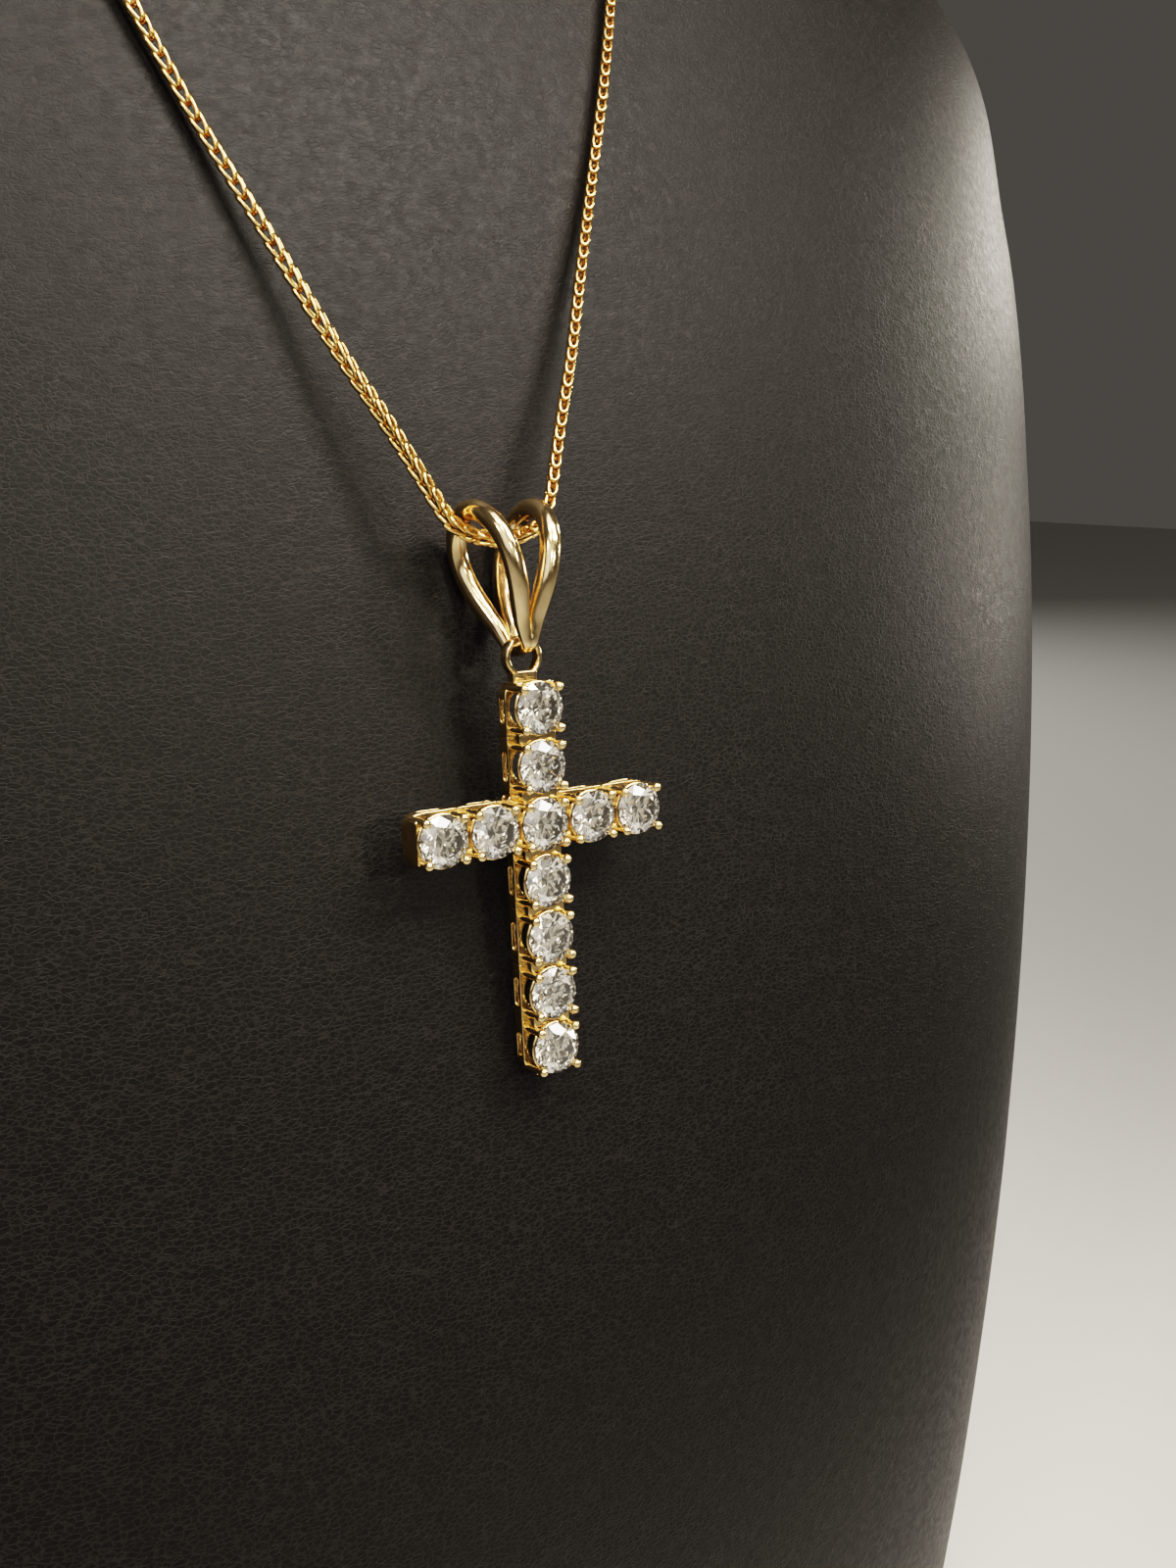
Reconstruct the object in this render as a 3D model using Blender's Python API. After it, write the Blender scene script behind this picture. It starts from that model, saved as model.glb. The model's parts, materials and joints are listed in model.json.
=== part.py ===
"""Cross pendant set with eleven round stones, on a woven chain round a plain neck bust.

Metres, +Z up. The bust stands on its flat base at the origin and faces -Y, with +X to the right.
Sizes are in millimetres below and are turned into metres where a mesh or a place is made.
The cross and its stones hang from a split bail, and the bail hangs on the chain.
"""

import math

import bmesh
import bpy
import numpy as np
from mathutils import Matrix, Vector

MM = 0.001

# Round brilliant stones, with the cut in shares of the diameter
STONE_DIAMETER = 5.0
TABLE_SHARE = 0.57
CROWN_SHARE = 0.15
GIRDLE_SHARE = 0.025
PAVILION_SHARE = 0.43
STONE_SPACING = 0.5
STONE_CLEARANCE = 0.12

# Where the star facets and the pavilion's main facets turn: share of the radius, share of the crown or pavilion
STAR_TURN = (0.80, 0.56)
TIP_TURN = (0.22, 0.80)

# Number of stones along each arm from the centre stone
STONES_ABOVE = 2
STONES_BELOW = 4
STONES_BESIDE = 2

# Baskets that hold the stones
BASKET_DEPTH = 4.3
PRONG_DIAMETER = 0.78
PRONG_BALL = 0.96
PRONG_REACH = 0.25
GIRDLE_DEPTH = 0.3
GALLERY_DEPTH = 1.35
GALLERY_WALL = 0.45
SLOT_LENGTH = 2.8
SLOT_WIDTH = 0.8
SEAT_RING_WIDTH = 0.45
SEAT_RING_DEPTH = 0.4
WEB_THICKNESS = 1.1
WEB_PROUD = 0.2
WEB_LAP = 0.4
WEB_DROP = 0.55
END_WALL = 0.45
GALLERY_CORNER = 1.3
SLOT_DEPTH = 0.73
SOLDER_STEP = 0.04

# Ring and foot on top of the cross
RING_HOLE = 2.9
RING_RIM = 0.62
RING_DEPTH = 1.2
RING_SINK = 0.12
FOOT_WIDTH = 2.4
FOOT_HEIGHT = 0.9
FOOT_SINK = 0.28

# Split bail
BAIL_HEIGHT = 13.7
BAIL_DEPTH = 8.8
BAIL_LEAN = 12.5
LOOP_LEAN = 13.2
LOOP_OFFSET = 0.22
LIMB_DIAMETER = 2.0
BAR_DIAMETER = 1.1
BAIL_GAP = 0.22

# Half of one bail loop, from the bar at the bottom round to the top:
# share of its height, share of its half depth, and how far it has thickened from bar to limb
LOOP_STATIONS = (
    (0.00, 0.00, 0.00),
    (0.002, 0.20, 0.00),
    (0.020, 0.345, 0.06),
    (0.085, 0.41, 0.25),
    (0.175, 0.49, 0.55),
    (0.300, 0.68, 0.85),
    (0.430, 0.87, 1.00),
    (0.560, 0.98, 1.00),
    (0.680, 1.00, 1.00),
    (0.800, 0.90, 1.00),
    (0.900, 0.68, 1.00),
    (0.970, 0.38, 1.00),
    (1.00, 0.00, 1.00),
)

# Chain and clasp
CHAIN_DIAMETER = 1.5
CHAIN_REST_GAP = 0.4
CLASP_LENGTH = 9.0
CLASP_WIDTH = 3.6
CLASP_THICKNESS = 2.2
CLASP_ROUNDING = 0.7
CLASP_GAP = 0.3
SKIN_STEP = 0.01

# Neck bust
BUST_HEIGHT = 325.0
BUST_WIDTH = 244.0
BUST_DEPTH = 130.0
EDGE_ROUNDING = 5.0

# Level sections of the bust, from its base to the top of its neck:
# share of height, share of half width, front and back as shares of depth, and squareness
BUST_STATIONS = (
    (0.000, 0.790, 0.054, 1.000, 3.2),
    (0.138, 0.774, 0.000, 1.000, 3.2),
    (0.277, 0.836, 0.014, 1.000, 3.2),
    (0.385, 0.901, 0.059, 1.000, 3.2),
    (0.538, 0.966, 0.142, 1.000, 3.2),
    (0.668, 1.000, 0.245, 1.000, 3.2),
    (0.754, 0.977, 0.331, 1.000, 3.2),
    (0.806, 0.850, 0.377, 0.992, 2.8),
    (0.846, 0.592, 0.405, 0.985, 2.4),
    (0.880, 0.470, 0.418, 0.980, 2.2),
    (0.920, 0.426, 0.426, 0.976, 2.1),
    (1.000, 0.405, 0.428, 0.974, 2.0),
)

# Place of the centre stone's prong tips in front of the bust, and the cross's lean
CROSS_HEIGHT = 150.0
CROSS_FORWARD = 59.5
CROSS_LEAN = 4.7

# Chosen points of the chain's right half, measured from the top of the bail's bearing point.
# The free stretch gives across, back and up. The resting stretch gives across and up, and lies on the bust.
CHAIN_FREE_ROUTE = ((0.0, 0.0, -0.8), (1.9, 0.0, -0.65), (3.4, 0.05, -0.15), (4.5, 0.2, 0.3), (5.35, 0.5, 1.15),
                    (6.15, 0.95, 2.55), (7.3, 1.95, 5.0), (9.8, 4.3, 10.3), (12.5, 6.75, 15.6), (17.2, 11.4, 26.2))
CHAIN_REST_ROUTE = ((22.4, 37.5), (26.3, 47.0), (31.3, 60.0), (36.4, 74.0), (41.2, 86.0), (46.2, 96.0), (51.0, 105.0))

# Turned stretch round the neck: degrees from the front, and height above the bearing point
CHAIN_NECK_ROUTE = ((71.0, 113.0), (92.0, 118.5), (113.0, 122.0), (138.0, 124.5), (161.0, 126.0))

# Facets of the meshes
PRONG_SIDES = 8
BALL_RINGS = 2
CORNER_STEPS = 4
SLOT_SIDES = 12
RING_SIDES = 24
SEAT_SIDES = 18
LOOP_SIDES = 12
LOOP_STEPS = 30
BUST_SIDES = 36
BUST_SPLIT = 3
CHAIN_POINTS = 78
CHAIN_SAMPLES = 4000
CHAIN_BEND_WEIGHT = 12.0

# Seams narrower than this are closed, and faces that turn less than this angle are joined
SEAM_WIDTH = 0.008
FLAT_ANGLE = 1.0

# Worked out from the sizes above
PITCH = STONE_DIAMETER + STONE_SPACING
STONE_RADIUS = STONE_DIAMETER / 2
PRONG_RADIUS = PRONG_DIAMETER / 2
BALL_RADIUS = PRONG_BALL / 2
PRONG_OFFSET = (STONE_RADIUS - PRONG_REACH + BALL_RADIUS) / math.sqrt(2)
BACK = BASKET_DEPTH - BALL_RADIUS
GALLERY_FRONT = BACK - GALLERY_DEPTH
RING_RADIUS = RING_HOLE / 2 + RING_RIM
RING_BACK = BACK - RING_DEPTH / 2
FOOT_TOP = STONES_ABOVE * PITCH + STONE_RADIUS + FOOT_HEIGHT
RING_UP = FOOT_TOP + RING_HOLE / 2 - RING_SINK
BAR_UP = RING_UP + RING_HOLE / 2 - BAIL_GAP - BAR_DIAMETER / 2
BEARING_DROP = (LIMB_DIAMETER + CHAIN_DIAMETER) / 2 + BAIL_GAP
BAIL_DROP = BAIL_HEIGHT * math.cos(math.radians(LOOP_LEAN)) - BEARING_DROP


def clear_scene():
    """Remove every object that the file opened with."""
    for item in list(bpy.data.objects):
        bpy.data.objects.remove(item, do_unlink=True)


def metal(name, colour, roughness, metallic=1.0):
    """A Principled material of one colour."""
    mat = bpy.data.materials.new(name)
    mat.use_nodes = True
    shader = mat.node_tree.nodes["Principled BSDF"]
    shader.inputs["Base Color"].default_value = (*colour, 1.0)
    shader.inputs["Roughness"].default_value = roughness
    shader.inputs["Metallic"].default_value = metallic
    return mat


def new_object(name, mesh, material, parent=None, place=(0, 0, 0), hidden=False, group=None):
    """Put a mesh in the scene under a parent, with its place in millimetres."""
    item = bpy.data.objects.new(name, mesh)
    (group or bpy.context.scene.collection).objects.link(item)
    item.parent = parent
    item.location = [v * MM for v in place]
    if not mesh.materials:
        mesh.materials.append(material)
    if hidden:
        item.hide_render = True
        item.display_type = "WIRE"
    return item


def new_empty(name, place, lean, parent=None):
    """An empty at a place in millimetres that leans back by some degrees."""
    item = bpy.data.objects.new(name, None)
    bpy.context.scene.collection.objects.link(item)
    item.parent = parent
    item.location = [v * MM for v in place]
    item.rotation_euler = (-math.radians(lean), 0, 0)
    return item


def closed_mesh(name, points, faces, smooth_angle=None):
    """A mesh in metres from millimetre points, with its faces pointing out."""
    bm = bmesh.new()
    verts = [bm.verts.new([c * MM for c in p]) for p in points]
    for face in faces:
        bm.faces.new([verts[i] for i in face])
    bmesh.ops.recalc_face_normals(bm, faces=bm.faces)
    mesh = bpy.data.meshes.new(name)
    bm.to_mesh(mesh)
    bm.free()
    if smooth_angle is not None:
        mesh.shade_smooth()
        mesh.set_sharp_from_angle(angle=math.radians(smooth_angle))
    return mesh


def turned_mesh(name, profile, sides, smooth_angle=None):
    """Turn a profile of (radius, depth) pairs round the Y axis; a radius of 0 makes a point."""
    points, rings, faces = [], [], []
    for radius, depth in profile:
        if radius == 0:
            rings.append([len(points)])
            points.append((0, depth, 0))
            continue
        rings.append(list(range(len(points), len(points) + sides)))
        for k in range(sides):
            turn = 2 * math.pi * (k + 0.5) / sides
            points.append((radius * math.cos(turn), depth, radius * math.sin(turn)))
    for low, high in zip(rings, rings[1:]):
        for k in range(sides):
            n = (k + 1) % sides
            face = [low[k % len(low)], low[n % len(low)], high[n % len(high)], high[k % len(high)]]
            faces.append(list(dict.fromkeys(face)))
    for end in (rings[0], rings[-1]):
        if len(end) > 1 and profile[0] != profile[-1]:
            faces.append(end)
    return closed_mesh(name, points, faces, smooth_angle)


def hoop_mesh(name, inner, outer, front, back, sides):
    """A flat hoop round the Y axis, with a square section."""
    corners = ((inner, front), (outer, front), (outer, back), (inner, back))
    points, faces = [], []
    for k in range(sides):
        turn = 2 * math.pi * (k + 0.5) / sides
        points += [(r * math.cos(turn), d, r * math.sin(turn)) for r, d in corners]
    for k in range(sides):
        a, b = 4 * k, 4 * ((k + 1) % sides)
        faces += [(a + c, a + (c + 1) % 4, b + (c + 1) % 4, b + c) for c in range(4)]
    return closed_mesh(name, points, faces)


def block_mesh(name, size, centre):
    """A block of some size round a centre."""
    points = [[centre[i] + size[i] / 2 * s[i] for i in range(3)]
              for s in ((x, y, z) for x in (-1, 1) for y in (-1, 1) for z in (-1, 1))]
    faces = ((0, 1, 3, 2), (4, 6, 7, 5), (0, 4, 5, 1), (2, 3, 7, 6), (0, 2, 6, 4), (1, 5, 7, 3))
    return closed_mesh(name, points, faces)


def prism_mesh(name, outline, start, end, axis):
    """Carry an outline of (a, b) pairs straight along an axis: 0 is X and keeps (Y, Z), 1 is Y, 2 is Z."""
    points = []
    for level in (start, end):
        for a, b in outline:
            point = [a, b]
            point.insert(axis, level)
            points.append(point)
    n = len(outline)
    faces = [list(range(n)), list(range(n, 2 * n))]
    faces += [(k, (k + 1) % n, n + (k + 1) % n, n + k) for k in range(n)]
    return closed_mesh(name, points, faces)


def smooth_value(places, values, at):
    """Read a smooth curve through stations: cubic pieces whose slope at a station is its neighbours' mean."""
    places, values, at = (np.asarray(v, float) for v in (places, values, at))
    slopes = np.gradient(values, places)
    i = np.clip(np.searchsorted(places, at, side="right") - 1, 0, len(places) - 2)
    step = places[i + 1] - places[i]
    t = (at - places[i]) / step
    start = (2 * t**3 - 3 * t**2 + 1) * values[i] + (t**3 - 2 * t**2 + t) * step * slopes[i]
    end = (3 * t**2 - 2 * t**3) * values[i + 1] + (t**3 - t**2) * step * slopes[i + 1]
    return start + end


def stone_places():
    """Names and places (across, up) of the stones, from the centre outwards."""
    places = [("stone_centre", 0, 0)]
    places += [(f"stone_top_{n}", 0, n) for n in range(1, STONES_ABOVE + 1)]
    places += [(f"stone_bottom_{n}", 0, -n) for n in range(1, STONES_BELOW + 1)]
    places += [(f"stone_left_{n}", -n, 0) for n in range(1, STONES_BESIDE + 1)]
    places += [(f"stone_right_{n}", n, 0) for n in range(1, STONES_BESIDE + 1)]
    return [(name, across * PITCH, up * PITCH) for name, across, up in places]


def stone_mesh():
    """A brilliant: eight-sided table, star, kite and upper facets, sixteen-sided girdle, pointed pavilion."""
    table = STONE_RADIUS * TABLE_SHARE
    front = GIRDLE_DEPTH - STONE_DIAMETER * CROWN_SHARE
    back = GIRDLE_DEPTH + STONE_DIAMETER * (GIRDLE_SHARE + PAVILION_SHARE)
    girdle_back = GIRDLE_DEPTH + STONE_DIAMETER * GIRDLE_SHARE
    bm = bmesh.new()
    rings = (
        (table, front, 8, 0.5),
        (STONE_RADIUS * STAR_TURN[0], front + (GIRDLE_DEPTH - front) * STAR_TURN[1], 8, 0.0),
        (STONE_RADIUS, GIRDLE_DEPTH, 16, 0.0),
        (STONE_RADIUS, girdle_back, 16, 0.0),
        (STONE_RADIUS * TIP_TURN[0], girdle_back + (back - girdle_back) * TIP_TURN[1], 8, 0.0),
    )
    for radius, depth, count, shift in rings:
        for k in range(count):
            turn = 2 * math.pi * (k + shift) / count
            bm.verts.new((radius * math.cos(turn) * MM, depth * MM, radius * math.sin(turn) * MM))
    bm.verts.new((0, back * MM, 0))
    bmesh.ops.convex_hull(bm, input=bm.verts)
    bmesh.ops.recalc_face_normals(bm, faces=bm.faces)
    mesh = bpy.data.meshes.new("brilliant")
    bm.to_mesh(mesh)
    bm.free()
    return mesh


def seat_cutter_mesh():
    """The space kept for one stone: its cut grown by the clearance."""
    grown = STONE_RADIUS + STONE_CLEARANCE
    front = GIRDLE_DEPTH - STONE_DIAMETER * CROWN_SHARE - STONE_CLEARANCE
    girdle_back = GIRDLE_DEPTH + STONE_DIAMETER * GIRDLE_SHARE + STONE_CLEARANCE / 2
    back = girdle_back + STONE_DIAMETER * PAVILION_SHARE + STONE_CLEARANCE
    profile = ((0, front), (STONE_RADIUS * TABLE_SHARE + STONE_CLEARANCE, front),
               (grown, GIRDLE_DEPTH - STONE_CLEARANCE / 2), (grown, girdle_back), (0, back))
    return turned_mesh("seat_cutter", profile, SEAT_SIDES)


def gallery_mesh():
    """The plate at the back of the baskets, with the cross's outline."""
    half = STONE_RADIUS
    top = STONES_ABOVE * PITCH + half
    bottom = -STONES_BELOW * PITCH - half
    side = STONES_BESIDE * PITCH + half
    corners = ((half, top), (-half, top), (-half, half), (-side, half), (-side, -half), (-half, -half),
               (-half, bottom), (half, bottom), (half, -half), (side, -half), (side, half), (half, half))
    outline = []
    for i, corner in enumerate(corners):
        if abs(corner[0]) == abs(corner[1]) == half:
            outline.append(corner)
            continue
        before, after = (np.sign(np.subtract(corners[k % len(corners)], corner)) for k in (i - 1, i + 1))
        for turn in np.linspace(0, math.pi / 2, CORNER_STEPS):
            inward = before * (1 - math.sin(turn)) + after * (1 - math.cos(turn))
            outline.append(tuple(np.add(corner, inward * GALLERY_CORNER)))
    return prism_mesh("gallery", outline, GALLERY_FRONT, BACK, 1)


def slot_outline(across, along):
    """A long hole with round ends: (depth, along) pairs round the middle of the gallery."""
    radius = SLOT_WIDTH / 2
    straight = SLOT_LENGTH / 2 - radius
    outline = []
    for k in range(SLOT_SIDES):
        turn = 2 * math.pi * (k + 0.5) / SLOT_SIDES
        end = straight if math.sin(turn) > 0 else -straight
        outline.append((across + radius * math.cos(turn), along + end + radius * math.sin(turn)))
    return outline


def arm_ends():
    """Places of the webs between baskets and of the end walls: (across, up, thickness, along X)."""
    webs = []
    for n in range(-STONES_BELOW, STONES_ABOVE):
        webs.append((0, (n + 0.5) * PITCH, WEB_THICKNESS, False))
    for n in range(-STONES_BESIDE, STONES_BESIDE):
        webs.append(((n + 0.5) * PITCH, 0, WEB_THICKNESS, True))
    reach = STONE_RADIUS - END_WALL / 2 - SOLDER_STEP
    webs.append((0, STONES_ABOVE * PITCH + reach, END_WALL, False))
    webs.append((0, -STONES_BELOW * PITCH - reach, END_WALL, False))
    webs.append((STONES_BESIDE * PITCH + reach, 0, END_WALL, True))
    webs.append((-STONES_BESIDE * PITCH - reach, 0, END_WALL, True))
    return webs


def cross_frame(gold, parent, place):
    """The soldered cross: gallery, webs, seat rings, prongs, foot and ring as one solid."""
    parts = bpy.data.collections.new("frame_parts")
    cuts = bpy.data.collections.new("frame_cuts")
    for group in (parts, cuts):
        bpy.context.scene.collection.children.link(group)

    def part(mesh, at=(0, 0, 0), group=parts):
        spot = [p + q for p, q in zip(place, at)]
        return new_object(mesh.name, mesh, gold, parent, spot, hidden=True, group=group)

    girdle_back = GIRDLE_DEPTH + STONE_DIAMETER * GIRDLE_SHARE
    web_front = girdle_back + WEB_DROP
    web_depth = GALLERY_FRONT + WEB_LAP - web_front
    web_width = 2 * PRONG_OFFSET + WEB_PROUD
    for across, up, thickness, along_x in arm_ends():
        size = (thickness, web_depth, web_width) if along_x else (web_width, web_depth, thickness)
        part(block_mesh("web", size, (across, web_front + web_depth / 2, up)))

    seat_outer = STONE_RADIUS + SOLDER_STEP
    seat = hoop_mesh("seat", seat_outer - SEAT_RING_WIDTH, seat_outer, girdle_back + SOLDER_STEP,
                     girdle_back + SEAT_RING_DEPTH, SEAT_SIDES)
    prong = prong_mesh()
    seat_cut = seat_cutter_mesh()
    hole = turned_mesh("gallery_hole", ((STONE_RADIUS - GALLERY_WALL, GALLERY_FRONT - PRONG_RADIUS),
                                        (STONE_RADIUS - GALLERY_WALL, BACK + PRONG_RADIUS)), SEAT_SIDES)
    slot_depth = GALLERY_FRONT + SLOT_DEPTH
    reach = STONE_RADIUS + END_WALL
    for name, across, up in stone_places():
        part(seat, (across, 0, up))
        part(seat_cut, (across, 0, up), cuts)
        part(hole, (across, 0, up), cuts)
        for side_x in (-1, 1):
            for side_z in (-1, 1):
                part(prong, (across + side_x * PRONG_OFFSET, 0, up + side_z * PRONG_OFFSET))
        if up != 0:
            part(prism_mesh("slot", slot_outline(slot_depth, up), -reach, reach, 0), group=cuts)
        elif across != 0:
            swapped = [(b, a) for a, b in slot_outline(slot_depth, across)]
            part(prism_mesh("slot", swapped, -reach, reach, 2), group=cuts)

    ring = hoop_mesh("ring", RING_HOLE / 2, RING_RADIUS, -RING_DEPTH / 2, RING_DEPTH / 2, RING_SIDES)
    part(ring, (0, RING_BACK, RING_UP))
    foot_size = (FOOT_WIDTH, RING_DEPTH - SOLDER_STEP, FOOT_HEIGHT + FOOT_SINK)
    part(block_mesh("foot", foot_size, (0, RING_BACK - SOLDER_STEP, FOOT_TOP - foot_size[2] / 2)))
    part(turned_mesh("ring_hole", ((RING_HOLE / 2, -RING_DEPTH), (RING_HOLE / 2, RING_DEPTH)), RING_SIDES),
         (0, RING_BACK, RING_UP), cuts)

    frame = new_object("cross_frame", gallery_mesh(), gold, parent, place)
    for label, operation, group in (("solder", "UNION", parts), ("seats", "DIFFERENCE", cuts)):
        boolean = frame.modifiers.new(label, "BOOLEAN")
        boolean.operation = operation
        boolean.operand_type = "COLLECTION"
        boolean.collection = group
        boolean.solver = "EXACT"
    weld = frame.modifiers.new("close_seams", "WELD")
    weld.merge_threshold = SEAM_WIDTH * MM
    flat = frame.modifiers.new("flat_faces", "DECIMATE")
    flat.decimate_type = "DISSOLVE"
    flat.angle_limit = math.radians(FLAT_ANGLE)


def prong_mesh():
    """A round wire from the gallery to a ball tip."""
    profile = [(PRONG_RADIUS, GALLERY_FRONT + GALLERY_DEPTH / 2), (PRONG_RADIUS, BALL_RADIUS)]
    for k in range(BALL_RINGS):
        angle = math.pi / 2 * (k + 0.25) / BALL_RINGS
        profile.append((BALL_RADIUS * math.cos(angle), -BALL_RADIUS * math.sin(angle)))
    profile.append((0, -BALL_RADIUS))
    return turned_mesh("prong", profile, PRONG_SIDES)


def loop_path():
    """Centre line of one bail loop as rows of depth, height and limb radius, once round."""
    height, depth, thick = (np.array(column) for column in zip(*LOOP_STATIONS))
    run = np.concatenate(([0], np.cumsum(np.hypot(np.diff(height) * BAIL_HEIGHT,
                                                  np.diff(depth) * BAIL_DEPTH / 2))))
    at = np.linspace(0, run[-1], LOOP_STEPS // 2 + 1)
    up = smooth_value(run, height, at) * BAIL_HEIGHT
    out = smooth_value(run, depth, at) * BAIL_DEPTH / 2
    radius = (BAR_DIAMETER + smooth_value(run, thick, at) * (LIMB_DIAMETER - BAR_DIAMETER)) / 2
    half = np.column_stack((out, up, radius))
    other = half[-2:0:-1] * (-1, 1, 1)
    return np.concatenate((half, other))


def loop_mesh(side):
    """One loop of the bail: a round wire carried round the loop's leaning plane."""
    path = loop_path()
    lean = math.radians(LOOP_LEAN) * side
    plane_up = np.array((math.sin(lean), 0, math.cos(lean)))
    plane_side = np.array((math.cos(lean), 0, -math.sin(lean)))
    centre = np.outer(path[:, 1], plane_up) + np.outer(path[:, 0], (0, 1, 0))
    centre[:, 0] += side * LOOP_OFFSET
    along = np.roll(centre, -1, axis=0) - np.roll(centre, 1, axis=0)
    along /= np.linalg.norm(along, axis=1)[:, None]
    outward = np.cross(along, plane_side)
    points, faces = [], []
    count = len(path)
    for k in range(LOOP_SIDES):
        turn = 2 * math.pi * (k + 0.5) / LOOP_SIDES
        ring = centre + path[:, 2:] * (outward * math.cos(turn) + plane_side * math.sin(turn))
        points += [tuple(p) for p in ring]
        n = (k + 1) % LOOP_SIDES
        faces += [(k * count + i, k * count + (i + 1) % count, n * count + (i + 1) % count, n * count + i)
                  for i in range(count)]
    return closed_mesh(f"loop_{side}", points, faces, smooth_angle=40)


def split_bail(gold, parent, place):
    """Two leaning loops that meet in one bar at the bottom."""
    bail = new_object("bail", loop_mesh(-1), gold, parent, place)
    other = new_object("bail_right_loop", loop_mesh(1), gold, parent, place, hidden=True)
    union = bail.modifiers.new("solder", "BOOLEAN")
    union.operation = "UNION"
    union.object = other
    union.solver = "EXACT"


def bust_section(up):
    """Half width, front, back and squareness of the bust at heights in millimetres."""
    columns = list(zip(*BUST_STATIONS))
    share = np.clip(np.asarray(up, float) / BUST_HEIGHT, 0, 1)
    half_width, front, back, squareness = (smooth_value(columns[0], c, share) for c in columns[1:])
    return (half_width * BUST_WIDTH / 2, (front - 0.5) * BUST_DEPTH, (back - 0.5) * BUST_DEPTH, squareness)


def bust_ring(up, turn, grow=0.0):
    """A point of the bust's skin: turn is 0 at the front and a half circle at the back."""
    half_width, front, back, squareness = bust_section(up)
    half_depth = (back - front) / 2 + grow
    power = 2 / squareness
    across = (half_width + grow) * np.sign(np.sin(turn)) * np.abs(np.sin(turn)) ** power
    deep = (front + back) / 2 - half_depth * np.sign(np.cos(turn)) * np.abs(np.cos(turn)) ** power
    return across, deep


def bust_front(across, up):
    """Depth of the bust's front skin at a place seen from the front."""
    half_width, front, back, squareness = bust_section(up)
    rest = np.clip(1 - np.abs(across / half_width) ** squareness, 0, 1)
    return (front + back) / 2 - (back - front) / 2 * rest ** (1 / squareness)


def bust_mesh():
    """Loft the level sections, with a rounded edge at the base and at the top of the neck."""
    shares = [station[0] for station in BUST_STATIONS]
    split = np.arange(BUST_SPLIT) / BUST_SPLIT
    inner = [low + (high - low) * share for low, high in zip(shares, shares[1:]) for share in split][1:]
    levels = [(0.0, -EDGE_ROUNDING * 0.5), (EDGE_ROUNDING * 0.5, 0.0)]
    levels += [(share * BUST_HEIGHT, 0.0) for share in inner]
    levels += [(BUST_HEIGHT - EDGE_ROUNDING, 0.0), (BUST_HEIGHT - EDGE_ROUNDING * 0.3, -EDGE_ROUNDING * 0.3),
               (BUST_HEIGHT, -EDGE_ROUNDING)]
    turn = 2 * math.pi * (np.arange(BUST_SIDES) + 0.5) / BUST_SIDES
    points, faces = [], []
    for up, grow in levels:
        across, deep = bust_ring(up, turn, grow)
        points += [(x, y, up) for x, y in zip(across, deep)]
    for i in range(len(levels) - 1):
        for k in range(BUST_SIDES):
            n = (k + 1) % BUST_SIDES
            low, high = i * BUST_SIDES, (i + 1) * BUST_SIDES
            faces.append((low + k, low + n, high + n, high + k))
    faces.append(list(range(BUST_SIDES)))
    faces.append(list(range(len(points) - BUST_SIDES, len(points))))
    return closed_mesh("neck_bust", points, faces, smooth_angle=35)


def lean_back(degrees, place):
    """Turn a place about the X axis, so that the top of a hanging piece leans back."""
    return Matrix.Rotation(-math.radians(degrees), 3, "X") @ Vector(place)


def bearing_place():
    """The point where the bail hangs on the chain, in millimetres from the origin."""
    bar = Vector((0, -CROSS_FORWARD, CROSS_HEIGHT)) + lean_back(CROSS_LEAN, (0, RING_BACK, BAR_UP))
    return bar + lean_back(CROSS_LEAN + BAIL_LEAN, (0, 0, BAIL_DROP))


def between(stations, count):
    """Read a smooth curve through rows of stations at an even count of places in each stretch."""
    stations = np.array(stations)
    at = np.linspace(0, len(stations) - 1, (len(stations) - 1) * count + 1)
    return np.column_stack([smooth_value(np.arange(len(stations)), column, at) for column in stations.T])


def off_skin(skin, a, b, lift):
    """The place that stands off a skin by the lift, square to it; the skin turns two numbers into a point."""
    here = skin(a, b)
    off = np.cross(skin(a + SKIN_STEP, b) - here, skin(a, b + SKIN_STEP) - here)
    return here + off * lift / np.linalg.norm(off)


def chain_route(bearing):
    """Points of the whole chain, from one side of the clasp round to the other."""
    def front(x, up):
        return np.array((x, bust_front(x, up), up))

    def neck(turn, up):
        return np.array((*bust_ring(up, turn), up))

    lift = CHAIN_DIAMETER / 2 + CHAIN_REST_GAP
    half = [(x, bearing[1] + y, bearing[2] + z) for x, y, z in CHAIN_FREE_ROUTE]
    half += [off_skin(front, x, bearing[2] + z, lift) for x, z in between(CHAIN_REST_ROUTE, 3)]
    half += [off_skin(neck, math.radians(degrees), bearing[2] + z, lift)
             for degrees, z in between(CHAIN_NECK_ROUTE, 3)]
    up = half[-1][2]
    thicker = (CLASP_THICKNESS - CHAIN_DIAMETER) / 2
    half.append((CLASP_LENGTH / 2 + CLASP_GAP, bust_ring(up, math.pi, lift + thicker)[1], up))
    half = np.array(half, float)
    mirrored = half[:0:-1] * (-1, 1, 1)
    return np.concatenate((mirrored, half))


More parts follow.
